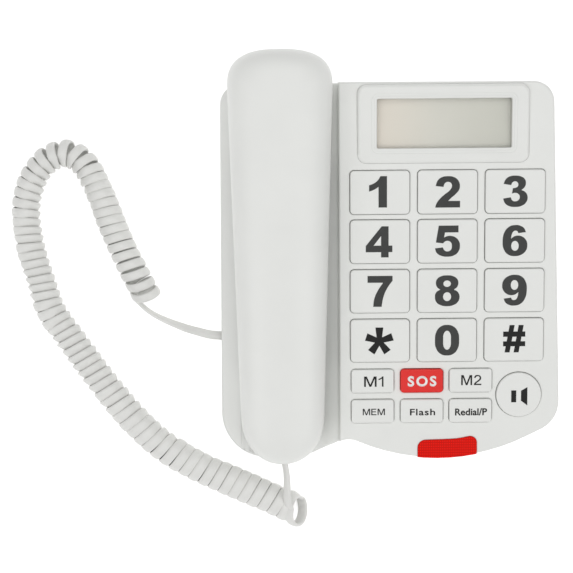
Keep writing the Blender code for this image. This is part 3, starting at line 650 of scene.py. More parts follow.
# How much wider the coil gets in mm, and from which share of its length and over how much of it.
COIL_GROWTH, GROWTH_START, GROWTH_LENGTH = 1.4, 0.25, 0.5
# The last turn at the handset's end is wider by this share, and its middle higher by this many mm.
HANDSET_FLARE, HANDSET_RISE = 0.2, 1.6
AXIS_STEP = 0.5
TURN_STEPS = 26
WIRE_SIDES = 16
# The power of the wire's rounded section: 1 is an ellipse, and less is squarer.
WIRE_ROUNDNESS = 0.8


def along(points, spacing):
    """Evenly spaced points on a Catmull-Rom curve through the given points."""
    points = [Vector(point) for point in points]
    points = [2 * points[0] - points[1], *points, 2 * points[-1] - points[-2]]
    fine = []
    for a, b, c, d in zip(points, points[1:], points[2:], points[3:]):
        for k in range(20):
            t = k / 20
            square = 2 * a - 5 * b + 4 * c - d
            cube = 3 * b - a - 3 * c + d
            fine.append(0.5 * (2 * b + (c - a) * t + square * t**2 + cube * t**3))
    fine.append(points[-2])
    lengths = [0.0]
    for a, b in zip(fine, fine[1:]):
        lengths.append(lengths[-1] + (b - a).length)
    count = ceil(lengths[-1] / spacing)
    route = []
    at = 0
    for k in range(count + 1):
        target = lengths[-1] * k / count
        while at < len(fine) - 2 and lengths[at + 1] < target:
            at += 1
        share = (target - lengths[at]) / max(lengths[at + 1] - lengths[at], 1e-9)
        route.append(fine[at].lerp(fine[at + 1], share))
    return route


def pitch_at(share):
    """The pitch that the table gives, in mm."""
    for (s0, p0), (s1, p1) in zip(PITCH, PITCH[1:]):
        if share <= s1:
            return p0 + (p1 - p0) * (share - s0) / (s1 - s0)
    return PITCH[-1][1]


def ease(t):
    """A soft step from 0 to 1 as t goes from 0 to 1."""
    t = min(max(t, 0.0), 1.0)
    return t * t * (3 - 2 * t)


def wire_share(t):
    """The wire's width at a share of the cord's length: it lies flatter and wider towards the handset."""
    return 0.93 + 0.2 * t


def coil_axis(cord):
    """The coil's centre line: its points, directions, bends and pitches, and the turns up to each point."""
    axis = along(COIL_ROUTE, AXIS_STEP)
    last = len(axis) - 1
    step = (axis[1] - axis[0]).length
    tangents = [(axis[min(k + 4, last)] - axis[max(k - 4, 0)]).normalized() for k in range(last + 1)]
    bends = []
    pitches = []
    turns = [0.0]
    for k in range(last + 1):
        a, b = max(k - 5, 0), min(k + 5, last)
        bends.append(tangents[a].cross(tangents[b]) / (step * (b - a)))
        uneven = 0.02 * sin(0.31 * k) + 0.02 * sin(0.117 * k + 1.3)
        opened = 1 + 4.5 * abs(bends[k]) + uneven
        pitches.append(cord.pitch / MM * pitch_at(k / last) / PITCH[-1][1] * opened)
        if k:
            turns.append(turns[-1] + step / pitches[-1])
    return axis, tangents, bends, pitches, turns


def coil_points(cord):
    """The places and outward directions of the coiled wire, turn by turn."""
    axis, tangents, bends, pitches, turns_at = coil_axis(cord)
    last = len(axis) - 1
    step = (axis[1] - axis[0]).length
    wire, thickness = cord.width / MM, cord.thickness / MM
    turns = round(turns_at[-1]) + 0.5
    scale = turns / turns_at[-1]
    places = []
    outwards = []
    at = 0
    for k in range(round(turns * TURN_STEPS) + 1):
        target = k / TURN_STEPS / scale
        while at < last - 1 and turns_at[at + 1] < target:
            at += 1
        share = min(1.0, (target - turns_at[at]) / (turns_at[at + 1] - turns_at[at]))
        centre = axis[at].lerp(axis[at + 1], share)
        forward = tangents[at].lerp(tangents[at + 1], share).normalized()
        right = Vector((forward.y, -forward.x, 0))
        gone = (at + share) * step
        base_share = ease(1 - gone / BASE_TILT_LENGTH)
        handset_share = ease(1 - (last * step - gone) / HANDSET_TILT_LENGTH)
        tilt = BASE_TILT * base_share + HANDSET_TILT * handset_share
        upward = Vector((-forward.x * sin(tilt), -forward.y * sin(tilt), cos(tilt)))
        onward = right.cross(upward) * -1
        # The coil is left-handed: it starts under the axis and climbs on the right-hand side.
        angle = -pi / 2 + 2 * pi * k / TURN_STEPS
        out = right * cos(angle) + upward * sin(angle)
        # Where the turns crowd, they lean and overlap like shingles.
        room = pitches[at] * (1 + bends[at] * cos(angle) * cord.coil_width / MM / 2)
        wire_here = wire * wire_share(at / last)
        lean = asin(min(0.75, thickness / room)) * ease((wire_here - room) / (0.12 * wire))
        uneven = 0.012 * sin(0.9 * k / TURN_STEPS) + 0.01 * sin(2.3 * k / TURN_STEPS + 0.7)
        swell = 1 + uneven + HANDSET_FLARE * handset_share
        coil_width = cord.coil_width / MM + COIL_GROWTH * ease((at / last - GROWTH_START) / GROWTH_LENGTH)
        radius = (coil_width / 2 - thickness / 2 - 0.3 * wire * sin(lean)) * swell
        places.append(Vector((centre.x, centre.y, COIL_Z + HANDSET_RISE * handset_share)) + out * radius)
        outwards.append((out * cos(lean) + onward * sin(lean)).normalized())
    return places, outwards


def lead_into(coil, sides, lead, spacing=1.5):
    """The places of a lead and the directions of its thin side, running on into a coil's first turn."""
    stops = [*lead, (coil[0], sides[0]), (coil[4], sides[4])]
    places = [Vector(place) for place, _ in stops]
    thin = [Vector(side).normalized() for _, side in stops]
    route = along(places, spacing)
    marks = [min(range(len(route)), key=lambda k, p=p: (route[k] - p).length) for p in places]
    found = []
    i = 0
    for k, place in enumerate(route[: marks[-2]]):
        while i < len(marks) - 2 and marks[i + 1] <= k:
            i += 1
        share = (k - marks[i]) / max(marks[i + 1] - marks[i], 1)
        found.append((place, thin[i].lerp(thin[i + 1], share).normalized()))
    return [place for place, _ in found], [side for _, side in found]


class TELEPHONE_OT_cord(bpy.types.Operator):
    """Adds the curly handset cord, one flat wire from the base to the handset"""

    bl_idname = "telephone.cord"
    bl_label = "Handset cord"

    def execute(self, context):
        cord = cord_settings()
        coil, sides = coil_points(cord)
        start, start_sides = lead_into(coil, sides, BASE_LEAD)
        end, end_sides = lead_into(coil[::-1], sides[::-1], HANDSET_LEAD[::-1])
        places = start + coil + end[::-1]
        outs = start_sides + sides + end_sides[::-1]
        return self.build(places, outs, cord)

    def build(self, places, outs, cord):
        work = bmesh.new()
        half_width, half_thick = cord.width / 2 / MM, cord.thickness / 2 / MM
        rows = []
        for k, place in enumerate(places):
            half_here = half_width * wire_share(k / len(places))
            before, after = places[max(k - 1, 0)], places[min(k + 1, len(places) - 1)]
            forward = (after - before).normalized()
            out = (outs[k] - forward * outs[k].dot(forward)).normalized()
            across = forward.cross(out)
            row = []
            for s in range(WIRE_SIDES):
                a = 2 * pi * s / WIRE_SIDES
                u = abs(cos(a)) ** WIRE_ROUNDNESS * (1 if cos(a) > 0 else -1)
                v = abs(sin(a)) ** WIRE_ROUNDNESS * (1 if sin(a) > 0 else -1)
                row.append(work.verts.new((place + across * u * half_here + out * v * half_thick) * MM))
            rows.append(row)
        for low, high in zip(rows, rows[1:]):
            for a in range(WIRE_SIDES):
                b = (a + 1) % WIRE_SIDES
                work.faces.new((low[a], low[b], high[b], high[a]))
        work.faces.new(rows[0][::-1])
        work.faces.new(rows[-1])
        piece = new_piece("handset_cord", work, finish("cord"))
        piece.data.shade_smooth()
        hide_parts("cord_coil", "cord_lead_base", "cord_lead_handset")
        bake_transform(piece)
        return {"FINISHED"}


# Base

CRADLE = [
    (-25.4, 14.0, 0.1),
    (-25.4, 0.02, 0.1),
    (-27.3, 0.02, 1.3),
    (-27.4, -3.2, 3.0),
    (-37.0, -8.5, 7.0),
    (-75.4, -8.5, 5.0),
    (-79.9, -3.2, 1.6),
    (-97.0, -8.0, 1.0),
    (-97.0, 14.0, 0.1),
]
# The lobe of the rim beside the handset's nose: where it starts, its two sides, and its height.
LOBE_Y = -80.0
LOBE_X = (-80.5, -68.0)
LOBE_Z = -3.2
CRADLE_UNDER = [
    (-25.0, 12.0),
    (-25.0, -4.9),
    (-35.9, -10.9),
    (-76.4, -10.9),
    (-80.8, -5.9),
    (-86.3, -6.2),
    (-98.0, -11.8),
    (-98.0, 12.0),
]
SEAT_Z = -12.0
SEAT_EDGE_Y = (43.0, -48.0)
RIM = 1.4
KEY_CLEARANCE = 0.3
KEY_FLANGE = 0.9
WELL_LIP = 0.25
BEZEL = (90.8, 41.6, 5.0)
BEZEL_CENTRE = (27.9, 71.2)
BEZEL_Z = -0.9
SEAM = 0.06
FRAME_TOP = ((50.4, 0.4), (92.0, 3.0))
DISPLAY_CENTRE = (28.4, 71.4)
WINDOW = (71.0, 26.0)
LENS = (74.0, 29.0)
LAMP_PLAN = [
    (46.6, -95.4, 3.6),
    (36.0, -97.6, 40),
    (14.8, -98.2, 4.2),
    (14.8, -120.0, 1),
    (46.6, -120.0, 1),
]
LAMP_BOTTOM_Z = 15.0
LAMP_PROUD = 0.5
LAMP_WALL = 1.9
KEY_NAMES = [
    *(f"key_{k}" for k in range(10)),
    "key_star", "key_hash", "key_m1", "key_sos", "key_m2", "key_mem", "key_flash", "key_redial",
]


# The openings for the handset cord, the line cord and the ringer switch: size and middle.
PORTS = [
    ((8.0, 8.4, 7.4), (-91.0, -41.2, 12.0)),
    ((10.6, 8.0, 8.2), (40.0, 92.5, 13.5)),
    ((8.0, 9.0, 3.4), (89.0, 20.0, 22.0)),
]
PLUNGER_AT = (-58.0, 66.0)


def on_deck(node):
    """The centre of a node, and its width, in millimetres on the deck."""
    low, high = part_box(node)
    centre = DECK.inverted() @ ((low + high) / 2) / MM
    return centre, (high.x - low.x) / MM


def seat_plan(rear, grow):
    """The plan of the hollow that takes an end of the handset, in handset x and deck y."""
    inset = 0.6 - grow
    edge = SEAT_EDGE_Y[0] - grow if rear else SEAT_EDGE_Y[1] + grow
    tip = EAR_Y if rear else NOSE_Y
    shoulder = tip - CROWN_LENGTH if rear else tip + NOSE_LENGTH
    steps = [edge] + [edge + (shoulder - edge) * k / 6 for k in range(1, 7)]
    steps += [shoulder + (tip - shoulder) * sin(k * pi / 40) for k in range(1, 19)]
    steps.append(shoulder + (tip - shoulder) * 0.9985)
    beyond = grow if rear else 0.0
    right = [(half_width(edge) - inset, edge)]
    right += [(half_width(y) - inset, y + beyond) for y in steps[1:]]
    outline = right + [(-x, y) for x, y in reversed(right)]
    return [(x + HANDSET_X, y) for x, y in outline]


def add_seats(work, floor_z, grow=0.0):
    for rear in (True, False):
        plan = seat_plan(rear, grow)
        add_loft(work, [level(plan, floor_z), level(plan, 14.0)])
    return work


def bar(profile, y0, y1):
    return loft([[(x, y, z) for x, z in profile] for y in (y1, y0)])


def cradle_hollow():
    """The hollow that the handset lies in. Beside the nose its left side is level with the rim."""
    profile = [tuple(point) for point in rounded(CRADLE, step=radians(5))]
    past_middle = next(k for k, (x, z) in enumerate(profile) if x < HANDSET_X and z < -8)
    profile[past_middle:past_middle] = [(-66.0, -8.5), (-70.0, -8.5)]
    rings = []
    for y in (131, LOBE_Y, LOBE_Y - 1, -131):
        ring = []
        for x, z in profile:
            beside_nose = y < LOBE_Y and LOBE_X[0] < x < LOBE_X[1]
            ring.append((x, y, max(z, LOBE_Z) if beside_nose else z))
        rings.append(ring)
    work = loft(rings)
    bmesh.ops.triangulate(work, faces=[face for face in work.faces if len(face.verts) == 4])
    return work


def add_well(work, plan_at, depth, lip):
    """A straight well through the deck whose mouth opens with a small rounded lip."""
    rings = [level(plan_at(0.0), -depth)]
    rings += [level(plan_at(-outward), 0.01 - down) for outward, down in arc_edge(lip, 4)]
    rings.append(level(plan_at(-lip), 6.0))
    return add_loft(work, rings)


def key_wells():
    work = bmesh.new()
    for name in KEY_NAMES:
        centre, width = on_deck(name)
        height = key_height(name)
        plan = rectangle(
            width - 2 * KEY_FLANGE + 2 * KEY_CLEARANCE, height + 2 * KEY_CLEARANCE, 2.4, (centre.x, centre.y)
        )
        add_well(work, lambda inset, plan=plan: rounded(plan, inset, CORNER_STEP), 8.0, WELL_LIP)
    centre, width = on_deck("key_speaker")
    radius = width / 2 - KEY_FLANGE + KEY_CLEARANCE
    ring = rectangle(2 * radius, 2 * radius, radius - 0.01, (centre.x, centre.y))
    add_well(work, lambda inset: rounded(ring, inset, radians(6)), 8.0, WELL_LIP)
    return work


def key_height(name):
    """The height of a key's cap along the deck."""
    low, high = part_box(name)
    lean = (KEY_TOP - KEY_FLANGE_Z[0]) * sin(TILT)
    return ((high.y - low.y) / MM - lean) / cos(TILT) - 2 * KEY_FLANGE


def lamp_prism(grow, z0=LAMP_BOTTOM_Z, z1=60.0):
    plan = rounded(LAMP_PLAN, -grow, radians(8))
    return loft([level(plan, z0 - grow), level(plan, z1)])


def soften_rim(piece):
    """Rounds the edges where the base's upright walls meet its top."""
    work = bmesh.new()
    work.from_mesh(piece.data)
    wall = rounded(BASE_OUTLINE)
    count = len(wall)

    def on_wall(vertex):
        point = Vector((vertex.co.x, vertex.co.y)) / MM
        for k in range(count):
            a, b = wall[k], wall[(k + 1) % count]
            line = b - a
            if line.length < 1e-6:
                continue
            t = max(0.0, min(1.0, (point - a).dot(line) / line.length_squared))
            if (a + line * t - point).length < 0.02:
                return True
        return False

    near = {v for v in work.verts if v.co.z > 0.012 and on_wall(v)}
    rim = [
        e for e in work.edges
        if e.verts[0] in near and e.verts[1] in near and len(e.link_faces) == 2
        and e.calc_face_angle(0) > radians(40) and any(f.normal.z > 0.3 for f in e.link_faces)
    ]
    bmesh.ops.bevel(
        work, geom=rim, offset=RIM * MM, offset_type="OFFSET", segments=5, profile=0.5, affect="EDGES",
        clamp_overlap=False, loop_slide=True,
    )
    bmesh.ops.remove_doubles(work, verts=work.verts, dist=0.000002)
    work.to_mesh(piece.data)
    work.free()


def inner_hollow():
    """The room inside the base, under the deck and round the cradle."""
    inner = rounded(BASE_OUTLINE, WALL, CORNER_STEP)
    cavity = new_piece("cavity", loft([level(inner, 0.0), below_deck(inner, WALL)]))
    carve(cavity, bar(CRADLE_UNDER, -130, 130), DECK)
    carve(cavity, add_seats(bmesh.new(), SEAT_Z - WALL, WALL), DECK)
    hollow = bmesh.new()
    hollow.from_mesh(cavity.data)
    bpy.data.objects.remove(cavity)
    return hollow


def display_recess():
    """The shallow recess that the display's frame lies in."""
    plan = rectangle(BEZEL[0] + 2 * SEAM, BEZEL[1] + 2 * SEAM, BEZEL[2] + SEAM, BEZEL_CENTRE)
    return add_well(bmesh.new(), lambda inset: rounded(plan, inset), GAP - BEZEL_Z, 0.12)


class TELEPHONE_OT_base(bpy.types.Operator):
    """Adds the upper half of the base"""

    bl_idname = "telephone.base"
    bl_label = "Base shell"

    def execute(self, context):
        outline = rounded(BASE_OUTLINE)
        shell = new_piece(
            "upper_shell",
            loft([level(outline, SPLIT_Z + GAP), below_deck(outline, 0.0)]),
            finish("shell"),
        )
        carve(shell, cradle_hollow(), DECK)
        carve(shell, add_seats(bmesh.new(), SEAT_Z), DECK)
        soften_rim(shell)
        carve(shell, inner_hollow())
        carve(shell, key_wells(), DECK)
        carve(shell, display_recess(), DECK)
        opening = (LENS[0] + 2 * GAP, LENS[1] + 2 * GAP, 9.0)
        carve(shell, add_box(bmesh.new(), opening, (*DISPLAY_CENTRE, 0)), DECK)
        carve(shell, lamp_prism(0.2))
        ports = bmesh.new()
        for size, centre in PORTS:
            add_box(ports, size, centre)
        carve(shell, ports)
        carve(shell, add_box(bmesh.new(), (9.4, 5.4, 14.0), (*PLUNGER_AT, SEAT_Z)), DECK)
        smooth(shell)
        stand_for(shell, "base", "shell", "base_upper_shell")
        return {"FINISHED"}


# Handset

NOSE_Y, EAR_Y = -108.5, 111.0
NOSE_LENGTH, NOSE_POWER = 26.0, 2.2
CROWN_LENGTH, CROWN_POWER = 20.0, 2.6
HALF_WIDTH_AT = ((-86.0, 22.1), (92.0, 27.4))
PARTING_Z = 10.0
BACK_Z_AT = ((-90.0, 23.5), (0.0, 27.5), (90.0, 27.0))
GRIP_Z = 4.0
CUP_Z = -10.7
EAR_CUP_Y, MOUTH_CUP_Y = 62.0, -66.0
CUP_SLOPE = 18.0
BACK_POWER, FRONT_POWER = 2.6, 3.5
CROWN_EDGE_POWER, NOSE_EDGE_POWER = 3.2, 5.0
HANDSET_WALL = 2.0
SECTION_SIDES = 44
# The length over which a line with a corner in it is eased on each side.
EASING = 30.0


def between(table, y):
    """A value along the handset from a short table of (y, value), with its corners eased."""
    if len(table) == 3:
        (y0, v0), (y1, v1), (y2, v2) = table
        first, second = (v1 - v0) / (y1 - y0), (v2 - v1) / (y2 - y1)
        if abs(y - y1) < EASING:
            t = (y - y1 + EASING) / (2 * EASING)
            start = v1 - first * EASING
            return start + first * 2 * EASING * t + (second - first) * EASING * t * t
        return v1 + (first if y < y1 else second) * (y - y1)
    (y0, v0), (y1, v1) = table
    return v0 + (v1 - v0) * (y - y0) / (y1 - y0)


def end_share(y, power=None):
    """How full the handset is at y: 1 along its length, falling to 0 at its two tips."""
    if y > EAR_Y - CROWN_LENGTH:
        t, n = (y - (EAR_Y - CROWN_LENGTH)) / CROWN_LENGTH, CROWN_POWER
    elif y < NOSE_Y + NOSE_LENGTH:
        t, n = (NOSE_Y + NOSE_LENGTH - y) / NOSE_LENGTH, NOSE_POWER
    else:
        return 1.0
    n = power or n
    return (1 - min(t, 0.9992) ** n) ** (1 / n)


def half_width(y):
    return between(HALF_WIDTH_AT, y) * end_share(y)


def cup_share(y):
    """0 along the grip and 1 over the ear and mouth cups, with a soft slope between."""
    return ease(max((y - EAR_CUP_Y) / CUP_SLOPE, (MOUTH_CUP_Y - y) / CUP_SLOPE) + 1)


def half_section(y, upward, wall, sides):
    """A cross-section of one half of the handset at y: an arch on the parting plane."""
    width = half_width(y) - wall
    if upward:
        rise = (between(BACK_Z_AT, y) - PARTING_Z) * end_share(y, CROWN_EDGE_POWER) - wall
        power = BACK_POWER
    else:
        depth = PARTING_Z - GRIP_Z + (GRIP_Z - CUP_Z) * cup_share(y)
        rise = wall - depth * end_share(y, CROWN_EDGE_POWER if y > 0 else NOSE_EDGE_POWER)
        power = FRONT_POWER
    points = []
    for k in range(sides + 1):
        a = pi * k / sides
        x = width * abs(cos(a)) ** (2 / power) * (1 if cos(a) > 0 else -1)
        points.append((x, y, PARTING_Z + rise * abs(sin(a)) ** (2 / power)))
    return points


def handset_stations(wall, fine):
    """Where the handset's cross-sections are cut, closer together towards its ends."""
    low, high = NOSE_Y + wall, EAR_Y - wall
    ends = 22 if fine else 6
    nose = [low + NOSE_LENGTH * (1 - cos(k * pi / 2 / ends)) for k in range(ends)]
    crown = [high - CROWN_LENGTH * (1 - cos(k * pi / 2 / ends)) for k in range(ends - 1, -1, -1)]
    start, stop = nose[-1] + 2, crown[0] - 2
    steps = 76 if fine else 24
    return nose + [start + (stop - start) * k / steps for k in range(steps + 1)] + crown


def handset_half(upward, wall=0.0, lip=0.0, fine=True):
    """One half of the handset as a solid. A lip carries it on past the parting plane."""
    rings = []
    for y in handset_stations(wall, fine):
        ring = half_section(y, upward, wall, SECTION_SIDES if fine else 14)
        if lip:
            z = PARTING_Z + (-lip if upward else lip)
            ring += [(ring[-1][0], y, z), (ring[0][0], y, z)]
        else:
            shift = GAP / 2 if upward else -GAP / 2
            ring = [(x, y, z + shift) for x, y, z in ring]
        rings.append(ring)
    return loft(rings)


class TELEPHONE_OT_handset(bpy.types.Operator):
    """Adds the back and front halves of the handset"""

    bl_idname = "telephone.handset"
    bl_label = "Handset shells"

    def execute(self, context):
        back = new_piece("handset_back", handset_half(True), finish("shell"), HANDSET)
        carve(back, handset_half(True, HANDSET_WALL, 3.0, fine=False), HANDSET)
        smooth(back, 40)
        stand_for(back, "handset", "shell", "handset_back_shell")

        front = new_piece("handset_front", handset_half(False), finish("shell"), HANDSET)
        carve(front, handset_half(False, HANDSET_WALL, 3.0, fine=False), HANDSET)
        holes = bmesh.new()
        for k in range(-2, 3):
            add_box(holes, (1.6, 12.3 - 2 * abs(k), 7.0), (3.7 * k, EAR_CUP_Y + 18.1, CUP_Z))
        add_cylinder(holes, 1.1, CUP_Z - 4, CUP_Z + 4, (0, MOUTH_CUP_Y - 20), 16)
        for node in ("handset_screw_1", "handset_screw_2"):
            low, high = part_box(node)
            centre = HANDSET.inverted() @ ((low + high) / 2) / MM
            add_cylinder(holes, 3.0, 0.0, GRIP_Z + 0.8, (centre.x, centre.y), 32)
        add_box(holes, (8.2, 8.0, 7.2), (0, NOSE_Y, 3.0))
        carve(front, holes, HANDSET)
        smooth(front, 40)
        stand_for(front, "handset", "shell", "handset_front_shell")
        return {"FINISHED"}


# Keys

KEY_TOP = 1.6
KEY_FLANGE_Z = (-4.0, -2.5)
PRINT_LIFT = 0.02


def ellipse(x, y, rx, ry):
    return [(x + rx, y, 1), (x, y - ry, 1), (x - rx, y, 1), (x, y + ry, 1)]


def turned_over(contour):
    return [(79 - x, 100 - y, soft) for x, y, soft in contour]


def star():
    """A five-armed star with arms that widen to their ends."""
    contour = []
    for k in range(5):
        a = pi / 2 - k * 2 * pi / 5
        tip = Vector((cos(a), sin(a))) * 43
        side = Vector((sin(a), -cos(a))) * 12.2
        valley = Vector((cos(a - pi / 5), sin(a - pi / 5))) * 14.5
        contour += [(*(tip - side), 0), (*(tip + side), 0), (*valley, 0)]
    return [contour]


# Outlines of the digits, 100 units high: x, y, and 1 where the outline runs on smoothly.
SIX = [
    (74, 77, 0), (68, 90, 1), (55, 98, 1), (41, 100, 1), (21, 95, 1), (6, 78, 1), (0, 50, 1), (4, 22, 1),
    (18, 5, 1), (40, 0, 1), (61, 5, 1), (75, 18, 1), (79, 35, 1), (75, 51, 1), (62, 63, 1), (47, 66, 1),
    (36, 63, 1), (27, 56, 0), (29, 70, 1), (34, 79, 1), (41, 82, 1), (47, 80, 1), (50, 74, 0),
]
SIX_EYE = ellipse(39.5, 33, 12, 16)
OUTLINES = {
    "1": [[(57, 100, 0), (36, 100, 0), (28, 87, 1), (15, 77, 1), (0, 71, 0), (0, 51, 0), (16, 57, 1),
        (30, 66, 0), (30, 0, 0), (57, 0, 0)]],
    "2": [[(0, 0, 0), (79, 0, 0), (79, 21, 0), (41, 21, 0), (50, 30, 1), (66, 44, 1), (76, 57, 1),
        (78, 73, 1), (71, 89, 1), (57, 98, 1), (40, 100, 1), (21, 97, 1), (8, 87, 1), (1, 69, 0),
        (26, 66, 0), (30, 77, 1), (40, 82, 1), (50, 78, 1), (53, 69, 1), (47, 56, 1), (30, 42, 1),
        (12, 25, 1), (3, 11, 1)]],
    "3": [[(1, 74, 0), (9, 90, 1), (22, 98, 1), (39, 100, 1), (57, 97, 1), (69, 88, 1), (72, 75, 1),
        (68, 63, 1), (58, 54, 0), (71, 47, 1), (78, 31, 1), (73, 14, 1), (58, 3, 1), (39, 0, 1),
        (19, 3, 1), (6, 12, 1), (0, 27, 0), (24, 31, 0), (29, 21, 1), (39, 18, 1), (49, 22, 1),
        (53, 32, 1), (49, 41, 1), (40, 45, 1), (28, 43, 0), (31, 60, 0), (39, 61, 1), (46, 65, 1),
        (48, 72, 1), (45, 79, 1), (38, 82, 1), (30, 79, 1), (25, 70, 0)]],
    "4": [[(73, 100, 0), (51, 100, 0), (0, 37, 0), (0, 17, 0), (49, 17, 0), (49, 0, 0), (73, 0, 0),
        (73, 17, 0), (85, 17, 0), (85, 38, 0), (73, 38, 0)], [(49, 38, 0), (25, 38, 0), (49, 69, 0)]],
    "5": [[(75, 100, 0), (12, 100, 0), (3, 46, 0), (26, 43, 0), (32, 49, 1), (41, 51, 1), (51, 46, 1),
        (54, 34, 1), (51, 22, 1), (41, 17, 1), (31, 20, 1), (25, 30, 0), (0, 27, 0), (6, 12, 1),
        (20, 3, 1), (40, 0, 1), (61, 4, 1), (75, 16, 1), (80, 35, 1), (76, 51, 1), (64, 63, 1),
        (49, 67, 1), (39, 66, 1), (29, 62, 0), (32, 78, 0), (75, 78, 0)]],
    "6": [SIX, SIX_EYE],
    "7": [[(0, 100, 0), (80, 100, 0), (80, 84, 0), (68, 68, 1), (56, 46, 1), (49, 24, 1), (45, 0, 0),
        (18, 0, 0), (21, 24, 1), (32, 51, 1), (50, 78, 0), (0, 78, 0)]],
    "8": [[(39, 100, 1), (59, 97, 1), (72, 87, 1), (75, 74, 1), (71, 62, 1), (61, 54, 0), (74, 45, 1),
           (79, 29, 1), (73, 13, 1), (58, 3, 1), (39, 0, 1), (20, 3, 1), (5, 13, 1), (0, 29, 1), (4, 45, 1),
           (17, 54, 0), (7, 62, 1), (3, 74, 1), (6, 87, 1), (19, 97, 1)],
          ellipse(39, 73, 12, 10.5), ellipse(39, 31, 13, 14.5)],
    "9": [turned_over(SIX), turned_over(SIX_EYE)],
    "0": [[(39, 100, 1), (59, 95, 1), (73, 79, 1), (78, 50, 1), (73, 21, 1), (59, 5, 1), (39, 0, 1),
        (19, 5, 1), (5, 21, 1), (0, 50, 1), (5, 79, 1), (19, 95, 1)], [(39, 81, 1), (47, 76, 1),
        (51.5, 50, 1), (47, 24, 1), (39, 19, 1), (31, 24, 1), (26.5, 50, 1), (31, 76, 1)]],
    "star": star(),
    "hash": [[(5, 0, 0), (21, 0, 0), (24.5, 20, 0), (37.5, 20, 0), (34, 0, 0), (50, 0, 0),
        (53.5, 20, 0), (71, 20, 0), (71, 36, 0), (56.4, 36, 0), (59, 51, 0), (71, 51, 0), (71, 68, 0),
        (62, 68, 0), (65.6, 89, 0), (49.6, 89, 0), (46, 68, 0), (33, 68, 0), (36.6, 89, 0),
        (20.6, 89, 0), (17, 68, 0), (0, 68, 0), (0, 51, 0), (14, 51, 0), (11.4, 36, 0), (0, 36, 0),
        (0, 20, 0), (8.5, 20, 0)], [(27.4, 36, 0), (40.4, 36, 0), (43, 51, 0), (30, 51, 0)]],
    "M": [[(0, 0, 0), (14, 0, 0), (14, 80, 0), (41, 0, 0), (55, 0, 0), (82, 80, 0), (82, 0, 0),
        (96, 0, 0), (96, 100, 0), (75, 100, 0), (48, 20, 0), (21, 100, 0), (0, 100, 0)]],
    "E": [[(0, 0, 0), (68, 0, 0), (68, 14, 0), (15, 14, 0), (15, 45, 0), (63, 45, 0), (63, 58, 0),
        (15, 58, 0), (15, 86, 0), (66, 86, 0), (66, 100, 0), (0, 100, 0)]],
    "small_2": [[(0, 0, 0), (66, 0, 0), (66, 13, 0), (18, 13, 0), (26, 22, 1), (48, 40, 1), (62, 57, 1),
        (64, 74, 1), (56, 92, 1), (34, 100, 1), (11, 93, 1), (2, 72, 0), (15, 70, 0), (21, 83, 1),
        (33, 88, 1), (46, 84, 1), (51, 72, 1), (46, 58, 1), (31, 43, 1), (10, 24, 1), (2, 11, 1)]],
    "small_1": [[(38, 100, 0), (29, 100, 0), (20, 88, 1), (0, 76, 0), (0, 64, 0), (14, 70, 1),
        (26, 79, 0), (26, 0, 0), (38, 0, 0)]],
    "speaker": [[(0, 17, 0), (26, 17, 0), (26, 80, 0), (0, 80, 0)], [(51, 25, 0), (84, 0, 0),
        (84, 97, 0), (51, 78, 0)]],
}
# What is printed on each key: the outline's or the word's name, its width in mm or None for a large digit,
# its height, and how far its middle lies from the key's.
PRINTS = {
    **{f"key_{k}": (str(k), None, 16.6, (0, 0.1)) for k in range(10)},
    "key_1": ("1", None, 16.6, (-1.0, 0.4)),
    "key_4": ("4", None, 16.6, (-0.5, 0.0)),
    "key_star": ("star", None, 14.6, (-0.4, 0.0)),
    "key_hash": ("hash", None, 14.8, (0.1, 0.6)),
    "key_speaker": ("speaker", None, 10.0, (0.25, -0.8)),
    "key_m1": ("M1", 10.4, 5.6, (0.6, -0.1)),
    "key_m2": ("M2", 10.8, 5.5, (0.3, 0.3)),
    "key_sos": ("SOS", 15.4, 5.8, (0.1, -0.1)),
    "key_mem": ("MEM", 11.9, 3.5, (0.6, -0.2)),
    "key_flash": ("Flash", 13.5, 3.6, (0.4, -0.5)),
    "key_redial": ("Redial/P", 17.2, 3.9, (0.3, -0.6)),
}


# The short words that are spelled from the outlines above, and the gap between their letters.
SPELLED = {"M1": ("M", "small_1"), "M2": ("M", "small_2"), "MEM": ("M", "E", "M")}
LETTER_GAP = 15.0
# The words set in a font, each with its weight and its letter spacing.
WORDS = {"SOS": (3.6, 1.28), "Flash": (1.6, 1.1), "Redial/P": (2.2, 1.0)}


def outline_curve(name, contours):
    curve = bpy.data.curves.new(name, "CURVE")
    curve.dimensions = "2D"
    curve.fill_mode = "BOTH"
    curve.resolution_u = 8
    for contour in contours:
        spline = curve.splines.new("BEZIER")
        spline.use_cyclic_u = True
        spline.bezier_points.add(len(contour) - 1)
        for point, (x, y, soft) in zip(spline.bezier_points, contour):
            point.co = (x, y, 0)
            point.handle_left_type = point.handle_right_type = "AUTO" if soft else "VECTOR"
    return curve


def word_curve(word, weight, spacing):
    curve = bpy.data.curves.new(word, "FONT")
    curve.body = word
    curve.size = 100
    curve.offset = weight
    curve.space_character = spacing
    curve.resolution_u = 6
    curve.fill_mode = "BOTH"
    return curve


def curve_mesh(curve):
    """The flat filled mesh of a curve, and the curve removed."""
    carrier = bpy.data.objects.new("outline", curve)
    bpy.context.scene.collection.objects.link(carrier)
    bpy.context.view_layer.update()
    mesh = bpy.data.meshes.new_from_object(carrier.evaluated_get(bpy.context.evaluated_depsgraph_get()))
    bpy.data.objects.remove(carrier)
    work = bmesh.new()
    work.from_mesh(mesh)
    bpy.data.meshes.remove(mesh)
    bmesh.ops.remove_doubles(work, verts=work.verts, dist=0.01)
    return work


